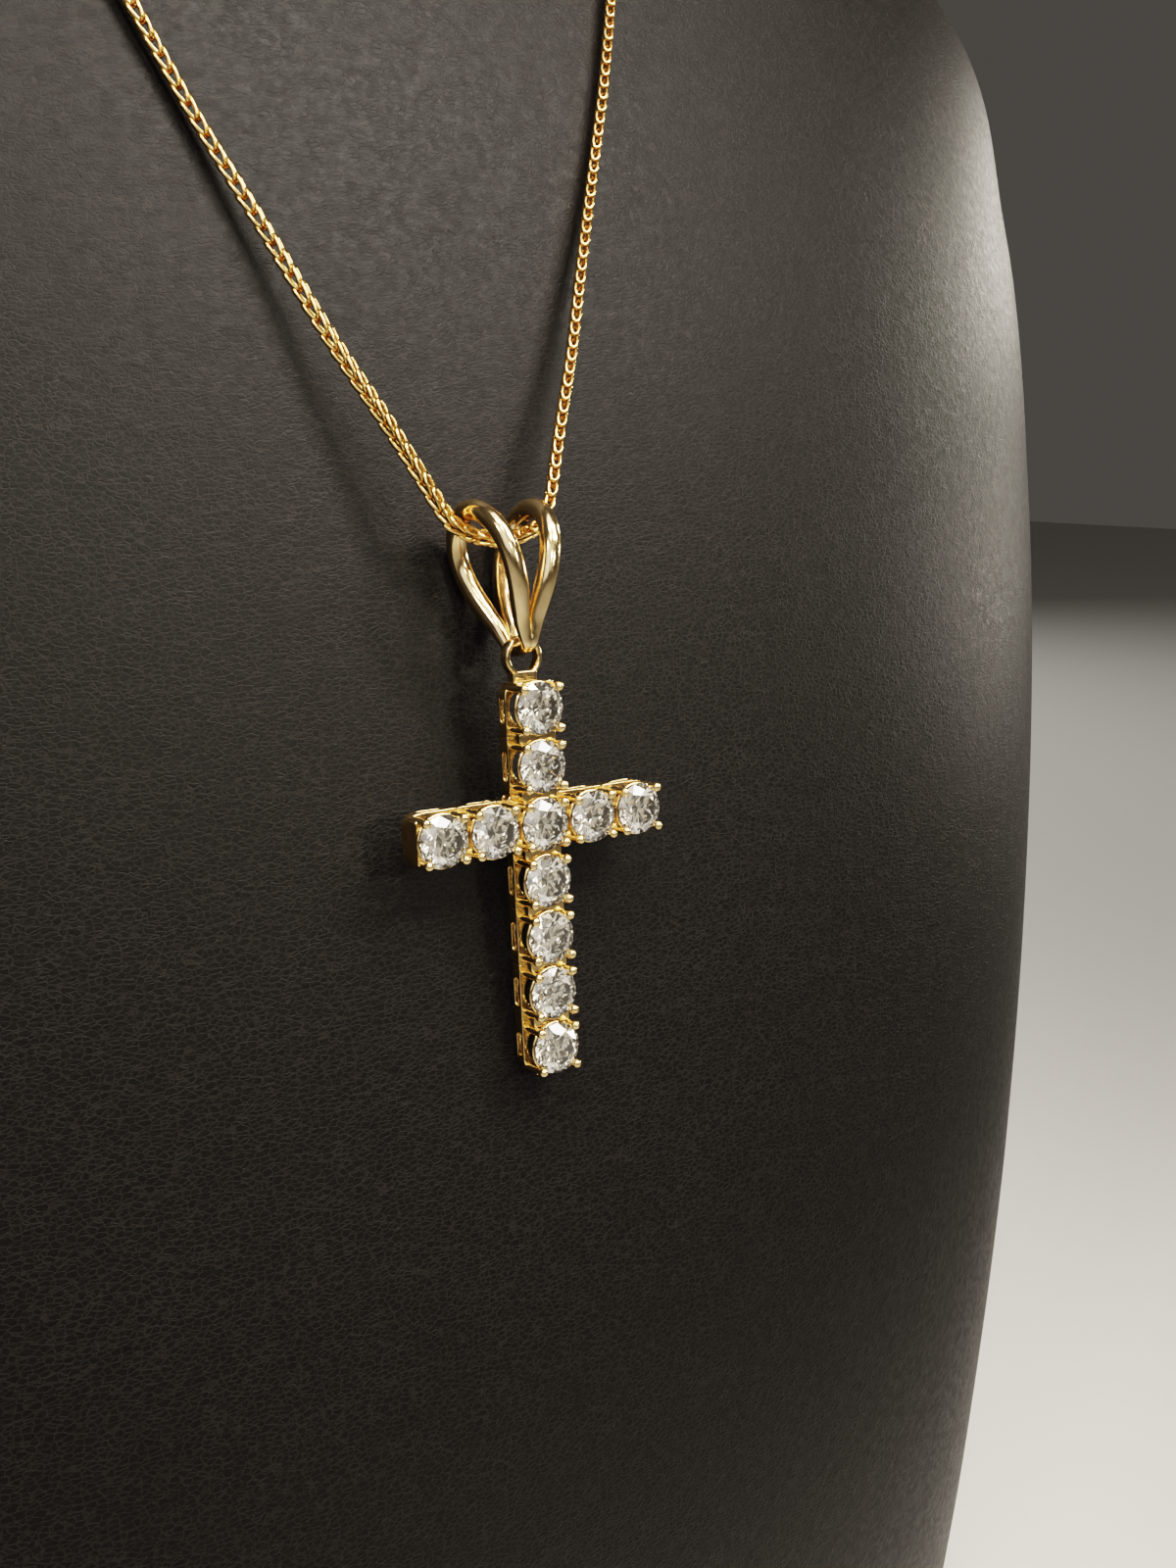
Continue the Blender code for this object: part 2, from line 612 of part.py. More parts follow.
def chain_points(route):
    """Read points off a smooth curve through the route, closer together where it bends."""
    run = np.concatenate(([0], np.cumsum(np.linalg.norm(np.diff(route, axis=0), axis=1))))
    fine = np.linspace(0, run[-1], CHAIN_SAMPLES)
    curve = np.column_stack([smooth_value(run, route[:, i], fine) for i in range(3)])
    step = np.diff(curve, axis=0)
    length = np.linalg.norm(step, axis=1)
    heading = step / length[:, None]
    bend = np.arccos(np.clip((heading[1:] * heading[:-1]).sum(axis=1), -1, 1))
    effort = np.concatenate(([0], np.cumsum(length + CHAIN_BEND_WEIGHT * np.append(bend, 0))))
    pick = np.interp(np.linspace(0, effort[-1], CHAIN_POINTS), effort, np.arange(len(effort)))
    return np.column_stack([np.interp(pick, np.arange(len(curve)), curve[:, i]) for i in range(3)])


def chain(gold, bearing):
    """The chain's outer form: a round tube along its whole route."""
    points = chain_points(chain_route(bearing))
    data = bpy.data.curves.new("chain", "CURVE")
    data.dimensions = "3D"
    data.bevel_depth = CHAIN_DIAMETER / 2 * MM
    data.bevel_resolution = 2
    data.use_fill_caps = True
    data.render_resolution_u = 0
    spline = data.splines.new("POLY")
    spline.points.add(len(points) - 1)
    for target, point in zip(spline.points, points):
        target.co = (*(point * MM), 1.0)
    data.materials.append(gold)
    bpy.context.scene.collection.objects.link(bpy.data.objects.new("chain", data))
    return points[-1]


def clasp(gold, end):
    """A plain clasp behind the neck, between the two ends of the chain, at the depth and height of an end."""
    mesh = block_mesh("clasp", (CLASP_LENGTH, CLASP_THICKNESS, CLASP_WIDTH), (0, 0, 0))
    item = new_object("clasp", mesh, gold, None, (0, end[1], end[2]))
    bevel = item.modifiers.new("round_edges", "BEVEL")
    bevel.width = CLASP_ROUNDING * MM
    bevel.segments = 2


def main():
    clear_scene()
    gold = metal("polished_gold", (0.83, 0.60, 0.25), 0.12)
    gem = metal("clear_stone", (0.93, 0.93, 0.90), 0.05, metallic=0.0)
    leatherette = metal("black_leatherette", (0.035, 0.032, 0.030), 0.55, metallic=0.0)

    new_object("neck_bust", bust_mesh(), leatherette)
    bearing = bearing_place()
    clasp(gold, chain(gold, bearing))

    bail_axis = new_empty("bail_axis", bearing, CROSS_LEAN + BAIL_LEAN)
    split_bail(gold, bail_axis, (0, 0, -BAIL_DROP))
    cross_axis = new_empty("cross_axis", (0, 0, -BAIL_DROP), -BAIL_LEAN, bail_axis)
    place = (0, -RING_BACK, -BAR_UP)
    cross_frame(gold, cross_axis, place)
    brilliant = stone_mesh()
    for name, across, up in stone_places():
        new_object(name, brilliant, gem, cross_axis, (across, place[1], place[2] + up))


main()
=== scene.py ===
"""Cross pendant set with round stones, on a woven gold chain round a leatherette neck bust.

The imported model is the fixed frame. Every piece is worked out in millimetres with numpy, as a surface of two
parameters or a profile carried along a path, and turned into metres where its mesh is made.
"""

import json
import math
from types import SimpleNamespace

import bmesh
import bpy
import numpy as np
from bpy.props import FloatProperty, FloatVectorProperty, IntProperty, PointerProperty
from bpy.types import Operator, Panel, PropertyGroup
from mathutils import Matrix, Vector


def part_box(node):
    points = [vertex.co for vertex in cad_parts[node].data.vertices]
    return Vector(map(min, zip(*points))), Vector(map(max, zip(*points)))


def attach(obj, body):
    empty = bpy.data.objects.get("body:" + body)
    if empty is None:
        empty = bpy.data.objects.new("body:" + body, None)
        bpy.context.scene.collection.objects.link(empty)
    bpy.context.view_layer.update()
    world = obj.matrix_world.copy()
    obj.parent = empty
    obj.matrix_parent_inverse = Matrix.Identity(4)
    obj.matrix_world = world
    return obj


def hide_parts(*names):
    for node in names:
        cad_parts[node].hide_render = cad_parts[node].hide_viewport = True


bl_info = {
    "name": "Cross pendant on a neck bust",
    "version": (1, 0, 0),
    "blender": (4, 5, 0),
    "location": "View3D > Sidebar > Pendant",
    "description": "Dresses a cross pendant, its bail and chain, and the bust that holds them",
    "category": "Object",
}

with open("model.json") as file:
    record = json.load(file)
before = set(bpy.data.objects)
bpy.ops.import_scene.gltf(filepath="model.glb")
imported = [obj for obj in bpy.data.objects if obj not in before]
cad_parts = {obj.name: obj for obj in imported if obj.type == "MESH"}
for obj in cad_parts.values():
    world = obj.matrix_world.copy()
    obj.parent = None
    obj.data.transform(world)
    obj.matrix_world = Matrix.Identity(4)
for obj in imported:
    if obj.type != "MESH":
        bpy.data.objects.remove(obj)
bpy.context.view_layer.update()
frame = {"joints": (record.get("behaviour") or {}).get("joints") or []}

MM = 0.001
BEARING = np.array(frame["joints"][0]["pos_m"]) / MM
BAR = np.array(frame["joints"][1]["pos_m"]) / MM
CROSS_BACK = np.array(frame["joints"][1]["axis"])
CROSS_UP = np.array((0, -CROSS_BACK[2], CROSS_BACK[1]))
BAIL_UP = (BEARING - BAR) / np.linalg.norm(BEARING - BAR)
BAIL_BACK = np.array((0, BAIL_UP[2], -BAIL_UP[1]))

# Fits in millimetres: the ring's sink in its foot, the room round the bar in the ring, the room between a stone and
# the metal under it, how far a web reaches past the prongs' middles and into the gallery, and the gap between the
# clasp and the chain's ends
RING_SINK = 0.12
BAR_ROOM = 0.22
STONE_ROOM = 0.12
WEB_LAP = 0.1
WEB_SINK = 0.3
CLASP_GAP = 0.3

# Names of the stones with their places across and up, counted in stones from the centre
STONE_CELLS = (
    ("stone_centre", 0, 0), ("stone_top_1", 0, 1), ("stone_top_2", 0, 2),
    ("stone_bottom_1", 0, -1), ("stone_bottom_2", 0, -2), ("stone_bottom_3", 0, -3), ("stone_bottom_4", 0, -4),
    ("stone_left_1", -1, 0), ("stone_left_2", -2, 0), ("stone_right_1", 1, 0), ("stone_right_2", 2, 0),
)

# Turn of a stone about its own axis in degrees: the centre stone's, and what each cell across and up adds
STONE_TURN = (11.0, 23.0, 37.0)

# The four sides of a stone's cell: steps across and up to the neighbour
CELL_SIDES = ((1, 0), (0, 1), (-1, 0), (0, -1))

# The gallery's front and back plates: thickness, and how far each plate's middle lies inside the gallery's end.
# An outer edge stands back a little from the walls, and a corner that meets a neighbour is nearly sharp.
GALLERY_PLATES = ((0.30, 0.16), (0.22, 0.12))
PLATE_ROUNDING = 0.05
PLATE_SETBACK = 0.03
SHARP_CORNER = 0.02

# Half of one bail loop from the bar to the top: share of height, share of half depth, share of thickening
LOOP_STATIONS = (
    (0.00, 0.00, 0.00), (0.002, 0.20, 0.00), (0.020, 0.345, 0.06), (0.085, 0.41, 0.25), (0.175, 0.49, 0.55),
    (0.300, 0.68, 0.85), (0.430, 0.87, 1.00), (0.560, 0.98, 1.00), (0.680, 1.00, 1.00), (0.800, 0.90, 1.00),
    (0.900, 0.68, 1.00), (0.970, 0.38, 1.00), (1.00, 0.00, 1.00),
)

# Level sections of the bust: shares of height and half width, front and back as shares of depth, and squareness
BUST_STATIONS = (
    (0.000, 0.790, 0.054, 1.000, 3.2), (0.138, 0.774, 0.000, 1.000, 3.2), (0.277, 0.836, 0.014, 1.000, 3.2),
    (0.385, 0.901, 0.059, 1.000, 3.2), (0.538, 0.966, 0.142, 1.000, 3.2), (0.668, 1.000, 0.245, 1.000, 3.2),
    (0.754, 0.977, 0.331, 1.000, 3.2), (0.806, 0.850, 0.377, 0.992, 2.8), (0.846, 0.592, 0.405, 0.985, 2.4),
    (0.880, 0.470, 0.418, 0.980, 2.2), (0.920, 0.426, 0.426, 0.976, 2.1), (1.000, 0.405, 0.428, 0.974, 2.0),
)

# The chain's right half, measured from the bearing: the free stretch gives across, back and up, the resting
# stretch across and up, and the neck stretch degrees from the front and height
CHAIN_FREE_ROUTE = ((0.0, 0.0, -0.8), (1.9, 0.0, -0.65), (3.4, 0.05, -0.15), (4.5, 0.2, 0.3), (5.35, 0.5, 1.15),
                    (6.15, 0.95, 2.55), (7.3, 1.95, 5.0), (9.8, 4.3, 10.3), (12.5, 6.75, 15.6), (17.2, 11.4, 26.2))
CHAIN_REST_ROUTE = ((22.4, 37.5), (26.3, 47.0), (31.3, 60.0), (36.4, 74.0), (41.2, 86.0), (46.2, 96.0),
                    (51.0, 105.0))
CHAIN_NECK_ROUTE = ((71.0, 113.0), (92.0, 118.5), (113.0, 122.0), (138.0, 124.5), (161.0, 126.0))

# A quarter of a link's ring from the fold to its end: shares of out, through and along
LINK_STATIONS = ((0.0, 0.42, 0.0), (0.24, 0.48, 0.03), (0.50, 0.64, 0.16), (0.76, 0.74, 0.40),
                 (0.92, 0.74, 0.68), (1.0, 0.54, 0.91), (1.0, 0.0, 1.0))

# How far the chain has turned on itself: distance from the bail along it, right side positive, and degrees
CHAIN_TWIST = ((-240, -60), (-80, 12), (-35, 46), (-10, 74), (10, 72), (30, 69), (90, 69), (240, 90))

# Direction that the chain's untwisted front looks in on the chest, and the heights above the bearing between
# which that turns into straight away from the neck
CHAIN_FRONT = (0, -0.9, 0.44)
NECK_LOW, NECK_HIGH = 85, 110

# The middle of the chest, which the lamps point at, in metres
CHEST = (0.0, -0.055, 0.155)

# Large lamps: name, place and aim in metres, size in metres, tint, and the spread of the light in degrees
LARGE_LAMPS = (
    ("key", (0.26, -0.36, 0.60), CHEST, 0.22, (1.0, 0.93, 0.82), 70.0),
    ("fill", (-0.45, -0.50, 0.42), CHEST, 0.45, (0.95, 0.97, 1.0), 180.0),
    ("top", (0.02, -0.24, 0.82), (-0.02, -0.03, 0.22), 0.4, (1.0, 0.93, 0.84), 180.0),
    ("wide", (-0.30, -0.90, 0.75), CHEST, 1.1, (1.0, 0.94, 0.83), 180.0),
    ("back", (0.40, 1.00, 0.75), (0, 0, 0.18), 0.9, (1.0, 0.97, 0.92), 180.0),
)

# Small lamps: degrees to the right of the front, degrees up and distance in metres
SMALL_LAMPS = ((-62, 38, 0.6), (-40, 66, 0.6), (-25, 52, 0.6), (-8, 24, 0.7), (6, 70, 0.6), (18, 46, 0.6),
               (38, 62, 0.6), (50, 34, 0.6), (20, 15, 0.6), (100, 18, 0.6), (85, 5, 0.7))
SMALL_LAMP_SIZE = 0.06
SMALL_LAMP_TINT = (1.0, 0.92, 0.78)
SMALL_LAMP_SPREAD = 50.0

# The camera: place in metres, directions, and lens and sensor in millimetres
CAMERA_PLACE = (-0.07425, -0.17098, 0.18488)
CAMERA_AHEAD = (0.56247, 0.79560, -0.22505)
CAMERA_UP = (0.12718, 0.18569, 0.97434)
CAMERA_LENS = 33.75
CAMERA_SENSOR = 36.0
CAMERA_NEAR = 0.005

FLOOR_HALF = 3


def length(name, value, description):
    """A length property, given in millimetres."""
    return FloatProperty(name=name, description=description, default=value * MM, min=0, precision=5,
                         unit="LENGTH")


def share(name, value, description, top=1.0):
    """A plain number property."""
    return FloatProperty(name=name, description=description, default=value, min=0, max=top)


def colour(name, value, description):
    """A colour property."""
    return FloatVectorProperty(name=name, description=description, default=value, min=0, max=1, size=3,
                               subtype="COLOR")


class StoneSettings(PropertyGroup):
    diameter: length("Diameter", 5.0, "Diameter of each round stone")
    spacing: length("Spacing", 0.5, "Gap between neighbouring stones")
    girdle_depth: length("Girdle depth", 0.3, "Depth of the girdle behind the middle of the prongs' balls")
    table: share("Table", 0.57, "Table's width as a share of the diameter")
    crown: share("Crown", 0.148, "Crown's height as a share of the diameter")
    girdle: share("Girdle", 0.025, "Girdle's height as a share of the diameter")
    pavilion: share("Pavilion", 0.43, "Pavilion's depth as a share of the diameter")
    colour: colour("Colour", (0.99, 0.90, 0.75), "Body colour of the stones")


class FrameSettings(PropertyGroup):
    depth: length("Depth", 4.3, "Depth of a basket from its prong tips to its back")
    prong: length("Prong", 0.78, "Thickness of a prong's wire")
    ball: length("Prong ball", 0.96, "Diameter of a prong's ball tip")
    reach: length("Prong reach", 0.25, "How far a ball reaches over its stone")
    gallery: length("Gallery", 1.35, "Depth of the gallery behind the baskets")
    wall: length("Gallery wall", 0.45, "Thickness of the gallery's walls")
    slot_length: length("Slot length", 2.8, "Length of the slot in a gallery wall")
    slot_width: length("Slot width", 0.8, "Width of the slot in a gallery wall")
    web: length("Web", 1.1, "Thickness of the web between two baskets")
    web_drop: length("Web drop", 0.55, "How far the webs' and end walls' rims lie behind the girdle")
    end_wall: length("End wall", 0.45, "Thickness of the wall at an arm's end")
    corner: length("Corner", 1.3, "Rounding of the gallery's corners at an arm's end")
    ring_hole: length("Ring hole", 2.9, "Hole of the ring on top")
    ring_rim: length("Ring rim", 0.62, "Rim of the ring on top")
    ring_depth: length("Ring depth", 1.2, "Depth of the ring on top")
    foot_width: length("Foot width", 2.7, "Width of the foot under the ring")
    foot_height: length("Foot height", 0.9, "Height of the foot under the ring")


class BailSettings(PropertyGroup):
    height: length("Height", 13.7, "Height of a loop along its own plane")
    depth: length("Depth", 8.8, "Depth of a loop from front to back")
    lean: FloatProperty(name="Lean", description="How far each loop leans to its side",
                        default=math.radians(13.2), subtype="ANGLE")
    offset: length("Offset", 0.22, "How far each loop's foot stands from the middle")
    limb: length("Limb", 2.0, "Thickness of a loop's wire")
    bar: length("Bar", 1.1, "Thickness of the bar in the ring")


class ChainSettings(PropertyGroup):
    diameter: length("Diameter", 1.5, "Outer width of the chain")
    rest_gap: length("Rest gap", 0.4, "Gap between the chain and what it lies on")
    link_width: length("Link width", 1.52, "Width across a link")
    wire: length("Wire", 0.48, "Thickness of a link's wire")
    pitch: length("Pitch", 1.55, "Distance from one link to the next")
    clasp_length: length("Clasp length", 9.0, "Length of the clasp")
    clasp_width: length("Clasp width", 3.6, "Width of the clasp")
    clasp_thickness: length("Clasp thickness", 2.2, "Thickness of the clasp")


class BustSettings(PropertyGroup):
    height: length("Height", 325.0, "Height of the bust")
    width: length("Width", 244.0, "Width of the bust")
    depth: length("Depth", 130.0, "Depth of the bust")
    edge: length("Edge", 5.0, "Rounding of the base and of the neck's top")
    colour: colour("Colour", (0.0029, 0.0025, 0.0024), "Colour of the leatherette")
    # Lighter than the leatherette's own colour: painted highlight for the light that the creases' edges catch
    crease_and_highlight: colour("Crease colour", (0.0079, 0.0069, 0.0065), "Colour in the leatherette's creases")
    grain: length("Grain", 0.82, "Width of a pebble of the grain")
    sides: IntProperty(name="Sides", description="Steps round the bust", default=160, min=12)


class GoldSettings(PropertyGroup):
    colour: colour("Colour", (0.89, 0.635, 0.32), "Colour of the cross's gold")
    chain_colour: colour("Chain colour", (0.90, 0.555, 0.20), "Colour of the chain's gold")
    pale_colour: colour("Pale colour", (0.89, 0.64, 0.35), "Colour of the bail's gold")
    roughness: share("Roughness", 0.16, "Mean roughness of the polish")


class StageSettings(PropertyGroup):
    floor_colour: colour("Floor colour", (0.58, 0.565, 0.54), "Colour of the plain floor")
    world_colour: colour("World colour", (0.50, 0.47, 0.43), "Colour of the room's soft light")
    world_strength: share("World strength", 0.13, "Strength of the room's soft light", 10.0)
    key_power: share("Key power", 0.70, "Power of the main lamp in watts", 100.0)
    fill_power: share("Fill power", 0.80, "Power of the fill lamp in watts", 100.0)
    small_power: share("Small lamp power", 0.085, "Power of each small lamp in watts", 100.0)
    top_power: share("Top power", 2.6, "Power of the lamp overhead in watts", 100.0)
    back_power: share("Back power", 9.0, "Power of the lamp behind the bust in watts", 100.0)
    wide_power: share("Wide power", 2.4, "Power of the wide soft lamp in watts", 100.0)


SETTINGS = {
    "pendant_stones": StoneSettings,
    "pendant_frame": FrameSettings,
    "pendant_bail": BailSettings,
    "pendant_chain": ChainSettings,
    "pendant_bust": BustSettings,
    "pendant_gold": GoldSettings,
    "pendant_stage": StageSettings,
}


# Shapes: a shell is a pair of arrays, its points in millimetres and its quads

def grid_quads(rows, columns, closed_rows=False, closed_columns=False):
    """Quads between the neighbours in a grid of points that is numbered row by row."""
    i, j = np.meshgrid(np.arange(rows - (not closed_rows)), np.arange(columns - (not closed_columns)),
                       indexing="ij")
    below, beside = (i + 1) % rows, (j + 1) % columns
    corners = (i * columns + j, i * columns + beside, below * columns + beside, below * columns + j)
    return np.stack(corners, axis=-1).reshape(-1, 4)


def shell(points, closed_rows=False, closed_columns=False):
    """A shell of a grid of points with rows, columns and coordinates."""
    rows, columns = points.shape[:2]
    return points.reshape(-1, 3), grid_quads(rows, columns, closed_rows, closed_columns)


def moved(piece, place):
    """A shell at another place."""
    return piece[0] + np.asarray(place, float), piece[1]


def turned(piece, right, back, up):
    """A shell with its own axes laid along three given ones."""
    return piece[0] @ np.array((right, back, up), float), piece[1]


def joined(pieces):
    """Many shells as one."""
    starts = np.cumsum([0] + [len(points) for points, _ in pieces[:-1]])
    return (np.concatenate([points for points, _ in pieces]),
            np.concatenate([quads + start for (_, quads), start in zip(pieces, starts)]))


def stamped(piece, places, axes):
    """One shell repeated at rows of places, with each copy's three axes."""
    points = np.einsum("pk,nkc->npc", piece[0], axes) + places[:, None]
    quads = piece[1][None] + np.arange(len(places))[:, None, None] * len(piece[0])
    return points.reshape(-1, 3), quads.reshape(-1, 4)


def new_piece(name, piece, material, body, node, smooth_angle=40.0):
    """A shell as an object that rides on a body and stands for a node of the frame.

    Its doubles are merged and its faces turned out. Edges flatter than the smooth angle are smooth.
    """
    points, faces = piece
    mesh = bpy.data.meshes.new(name)
    mesh.from_pydata((points * MM).tolist(), [], faces if isinstance(faces, list) else faces.tolist())
    bm = bmesh.new()
    bm.from_mesh(mesh)
    bmesh.ops.remove_doubles(bm, verts=bm.verts, dist=2e-7)
    bmesh.ops.dissolve_degenerate(bm, edges=bm.edges, dist=1e-8)
    bmesh.ops.recalc_face_normals(bm, faces=bm.faces)
    bm.to_mesh(mesh)
    bm.free()
    if smooth_angle > 0:
        mesh.shade_smooth()
        mesh.set_sharp_from_angle(angle=math.radians(smooth_angle))
    mesh.materials.append(material)
    item = bpy.data.objects.new(name, mesh)
    bpy.context.scene.collection.objects.link(item)
    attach(item, body)
    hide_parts(node)


def power(value, exponent):
    """A signed power, for superellipses."""
    return np.sign(value) * np.abs(value) ** exponent


def ellipse(across, along, squareness, count):
    """Points of a superellipse: cosine and sine raised to two over its squareness, times its half sizes."""
    turn = 2 * np.pi * (np.arange(count) + 0.5) / count
    exponent = 2 / squareness
    return np.stack((across * power(np.cos(turn), exponent), along * power(np.sin(turn), exponent)), axis=-1)


def lathe(profile, sides):
    """A profile of radius and depth turned round the depth axis: radius times cosine and sine of the turn."""
    profile = np.asarray(profile, float)
    turn = 2 * np.pi * np.arange(sides) / sides
    points = np.stack((np.outer(profile[:, 0], np.cos(turn)),
                       np.repeat(profile[:, 1:], sides, axis=1),
                       np.outer(profile[:, 0], np.sin(turn))), axis=-1)
    return shell(points, closed_columns=True)


def carried_round(section, radius, turn):
    """A section carried round the depth axis: radius plus its first number times cosine and sine, and its second."""
    reach = radius + section[:, 0]
    return np.stack((np.outer(np.cos(turn), reach), np.tile(section[:, 1], (len(turn), 1)),
                     np.outer(np.sin(turn), reach)), axis=-1)


def hoop(radius, half_rim, half_depth, squareness, steps, sides):
    """A ring round the depth axis whose section is a superellipse."""
    turn = 2 * np.pi * np.arange(steps) / steps
    return shell(carried_round(ellipse(half_rim, half_depth, squareness, sides), radius, turn), True, True)


def pebble(half, squareness, rows, sides):
    """A superellipsoid: powers of the latitude's and the turn's cosine and sine, times three half sizes."""
    latitude = np.pi * (np.arange(rows) / (rows - 1) - 0.5)
    ring = ellipse(1, 1, squareness, sides)
    width, rise = power(np.cos(latitude), 2 / squareness), power(np.sin(latitude), 2 / squareness)
    points = np.stack((half[0] * np.outer(width, ring[:, 0]), half[1] * np.outer(width, ring[:, 1]),
                       half[2] * np.repeat(rise[:, None], sides, axis=1)), axis=-1)
    return shell(points, closed_columns=True)


def rounded_cell(left, right, low, high, corners, count=64):
    """Outline of a rectangle whose four corners have their own radii, at even turns round its middle.

    The straight runs and quarter circles are laid out first, and their distance from the middle is then read at
    each turn. The corners are given from the right upper one round against the clock.
    """
    rows = []
    for k, radius in enumerate(corners):
        side, top = ((right, high), (left, high), (left, low), (right, low))[k]
        centre = np.array((side - math.copysign(radius, side), top - math.copysign(radius, top)))
        turn = np.pi / 2 * (k + np.linspace(0, 1, 13))
        rows.append(centre + radius * np.stack((np.cos(turn), np.sin(turn)), axis=-1))
    loop = np.concatenate(rows)
    ends = np.roll(loop, -1, axis=0)
    loop = (loop[:, None] + (ends - loop)[:, None] * (np.arange(24) / 24)[None, :, None]).reshape(-1, 2)
    angle = np.unwrap(np.arctan2(loop[:, 1], loop[:, 0]))
    at = 2 * np.pi * (np.arange(count) + 0.5) / count
    far = np.interp(at, angle, np.hypot(*loop.T), period=2 * np.pi)
    return np.stack((far * np.cos(at), far * np.sin(at)), axis=-1)


def pierced_plate(rim, hole, thickness, rounding):
    """A plate with a hole, in the plane of across and up: its section goes once round between the two outlines.

    A point lies on the line from the outer outline to the inner one, and its depth goes from the front face
    over a rounded edge to the back face.
    """
    span = np.linalg.norm(hole - rim, axis=1)[:, None]
    quarter = np.linspace(0, np.pi / 2, 4)
    inset, drop = rounding * (1 - np.sin(quarter)), rounding * (1 - np.cos(quarter))
    front, back = thickness / 2 - drop, drop - thickness / 2
    shares = np.concatenate((inset[::-1] / span, 1 - inset / span, 1 - inset[::-1] / span, inset / span),
                            axis=1)
    levels = np.concatenate((front[::-1], front, back[::-1], back))
    flat = rim[:, None] + (hole - rim)[:, None] * shares[..., None]
    points = np.stack((flat[..., 0], np.tile(levels, (len(rim), 1)), flat[..., 1]), axis=-1)
    return shell(points, True, True)


def corner_wall(radius, thickness, height):
    """A quarter of a ring with a squared section: the wall at a rounded corner of the gallery."""
    lap = 0.25
    section = ellipse(thickness / 2, height / 2, 8.0, 24)
    points = carried_round(section, radius - thickness / 2, np.linspace(-lap, np.pi / 2 + lap, 15))
    ends = [np.repeat(points[i:i + 1].mean(axis=1, keepdims=True), len(section), axis=1) for i in (0, -1)]
    return shell(np.concatenate((ends[0], points, ends[1])), closed_columns=True)


def tube(path, radius, sides, side_axis):
    """A round profile carried along a closed path: radius times cosine and sine of the turn on two cross axes."""
    along = np.roll(path, -1, axis=0) - np.roll(path, 1, axis=0)
    along /= np.linalg.norm(along, axis=1)[:, None]
    outward = np.cross(along, side_axis)
    outward /= np.linalg.norm(outward, axis=1)[:, None]
    beside = np.cross(outward, along)
    turn = 2 * np.pi * np.arange(sides) / sides
    ring = outward[:, None] * np.cos(turn)[None, :, None] + beside[:, None] * np.sin(turn)[None, :, None]
    return shell(path[:, None] + radius[:, None, None] * ring, True, True)


def smooth_value(places, values, at):
    """Cubic pieces through stations, whose slope at a station is its neighbours' mean."""
    places, values, at = (np.asarray(v, float) for v in (places, values, at))
    slopes = np.gradient(values, places)
    i = np.clip(np.searchsorted(places, at, side="right") - 1, 0, len(places) - 2)
    step = places[i + 1] - places[i]
    t = (at - places[i]) / step
    start = (2 * t**3 - 3 * t**2 + 1) * values[i] + (t**3 - 2 * t**2 + t) * step * slopes[i]
    end = (3 * t**2 - 2 * t**3) * values[i + 1] + (t**3 - t**2) * step * slopes[i + 1]
    return start + end


# Materials

def shader_of(name):
    """A new material's nodes, links and Principled shader."""
    material = bpy.data.materials.new(name)
    material.use_nodes = True
    tree = material.node_tree
    return material, tree.nodes, tree.links, tree.nodes["Principled BSDF"]


def object_texture(nodes, links, kind, scale, **values):
    """A texture node that reads Object coordinates."""
    place = nodes.get("Texture Coordinate") or nodes.new("ShaderNodeTexCoord")
    texture = nodes.new(kind)
    texture.inputs["Scale"].default_value = scale
    for key, value in values.items():
        if key in texture.inputs:
            texture.inputs[key].default_value = value
        else:
            setattr(texture, key, value)
    links.new(place.outputs["Object"], texture.inputs["Vector"])
    return texture


def ramp_of(nodes, links, source, stops):
    """A colour ramp fed by a source, with stops of place and grey or colour."""
    ramp = nodes.new("ShaderNodeValToRGB")
    elements = ramp.color_ramp.elements
    for _ in stops[2:]:
        elements.new(0.5)
    for element, (place, value) in zip(elements, stops):
        element.position = place
        element.color = (*value, 1) if isinstance(value, tuple) else (value, value, value, 1)
    links.new(source, ramp.inputs["Fac"])
    return ramp


def bump_of(nodes, links, shader, source, distance, strength):
    """A bump of some height in metres."""
    bump = nodes.new("ShaderNodeBump")
    bump.inputs["Distance"].default_value = distance
    bump.inputs["Strength"].default_value = strength
    links.new(source, bump.inputs["Height"])
    links.new(bump.outputs["Normal"], shader.inputs["Normal"])


def gold_material(name, tone, roughness, wave_height):
    """Polished cast gold: darker patches, fine scratches in its roughness and a faint unevenness of the polish.

    The three scales are in waves to the metre.
    """
    patch_scale, scratch_scale, wave_scale = 900, 2600, 420
    smoothest, roughest = roughness * 0.6, roughness * 1.35
    dark = tuple(c * k for c, k in zip(tone, (0.90, 0.90, 0.78)))
    material, nodes, links, shader = shader_of(name)
    shader.inputs["Metallic"].default_value = 1.0
    shader.inputs["Specular Tint"].default_value = (1.0, 0.93, 0.80, 1.0)
    patches = object_texture(nodes, links, "ShaderNodeTexNoise", patch_scale, Detail=3.0, Roughness=0.6)
    shade = ramp_of(nodes, links, patches.outputs["Fac"], ((0.35, dark), (0.65, tone)))
    links.new(shade.outputs["Color"], shader.inputs["Base Color"])
    scratches = object_texture(nodes, links, "ShaderNodeTexNoise", scratch_scale, Detail=4.0, Roughness=0.7)
    rough = ramp_of(nodes, links, scratches.outputs["Fac"], ((0.3, smoothest), (0.7, roughest)))
    links.new(rough.outputs["Color"], shader.inputs["Roughness"])
    waves = object_texture(nodes, links, "ShaderNodeTexNoise", wave_scale, Detail=2.0)
    bump_of(nodes, links, shader, waves.outputs["Fac"], wave_height, 1.0)
    return material


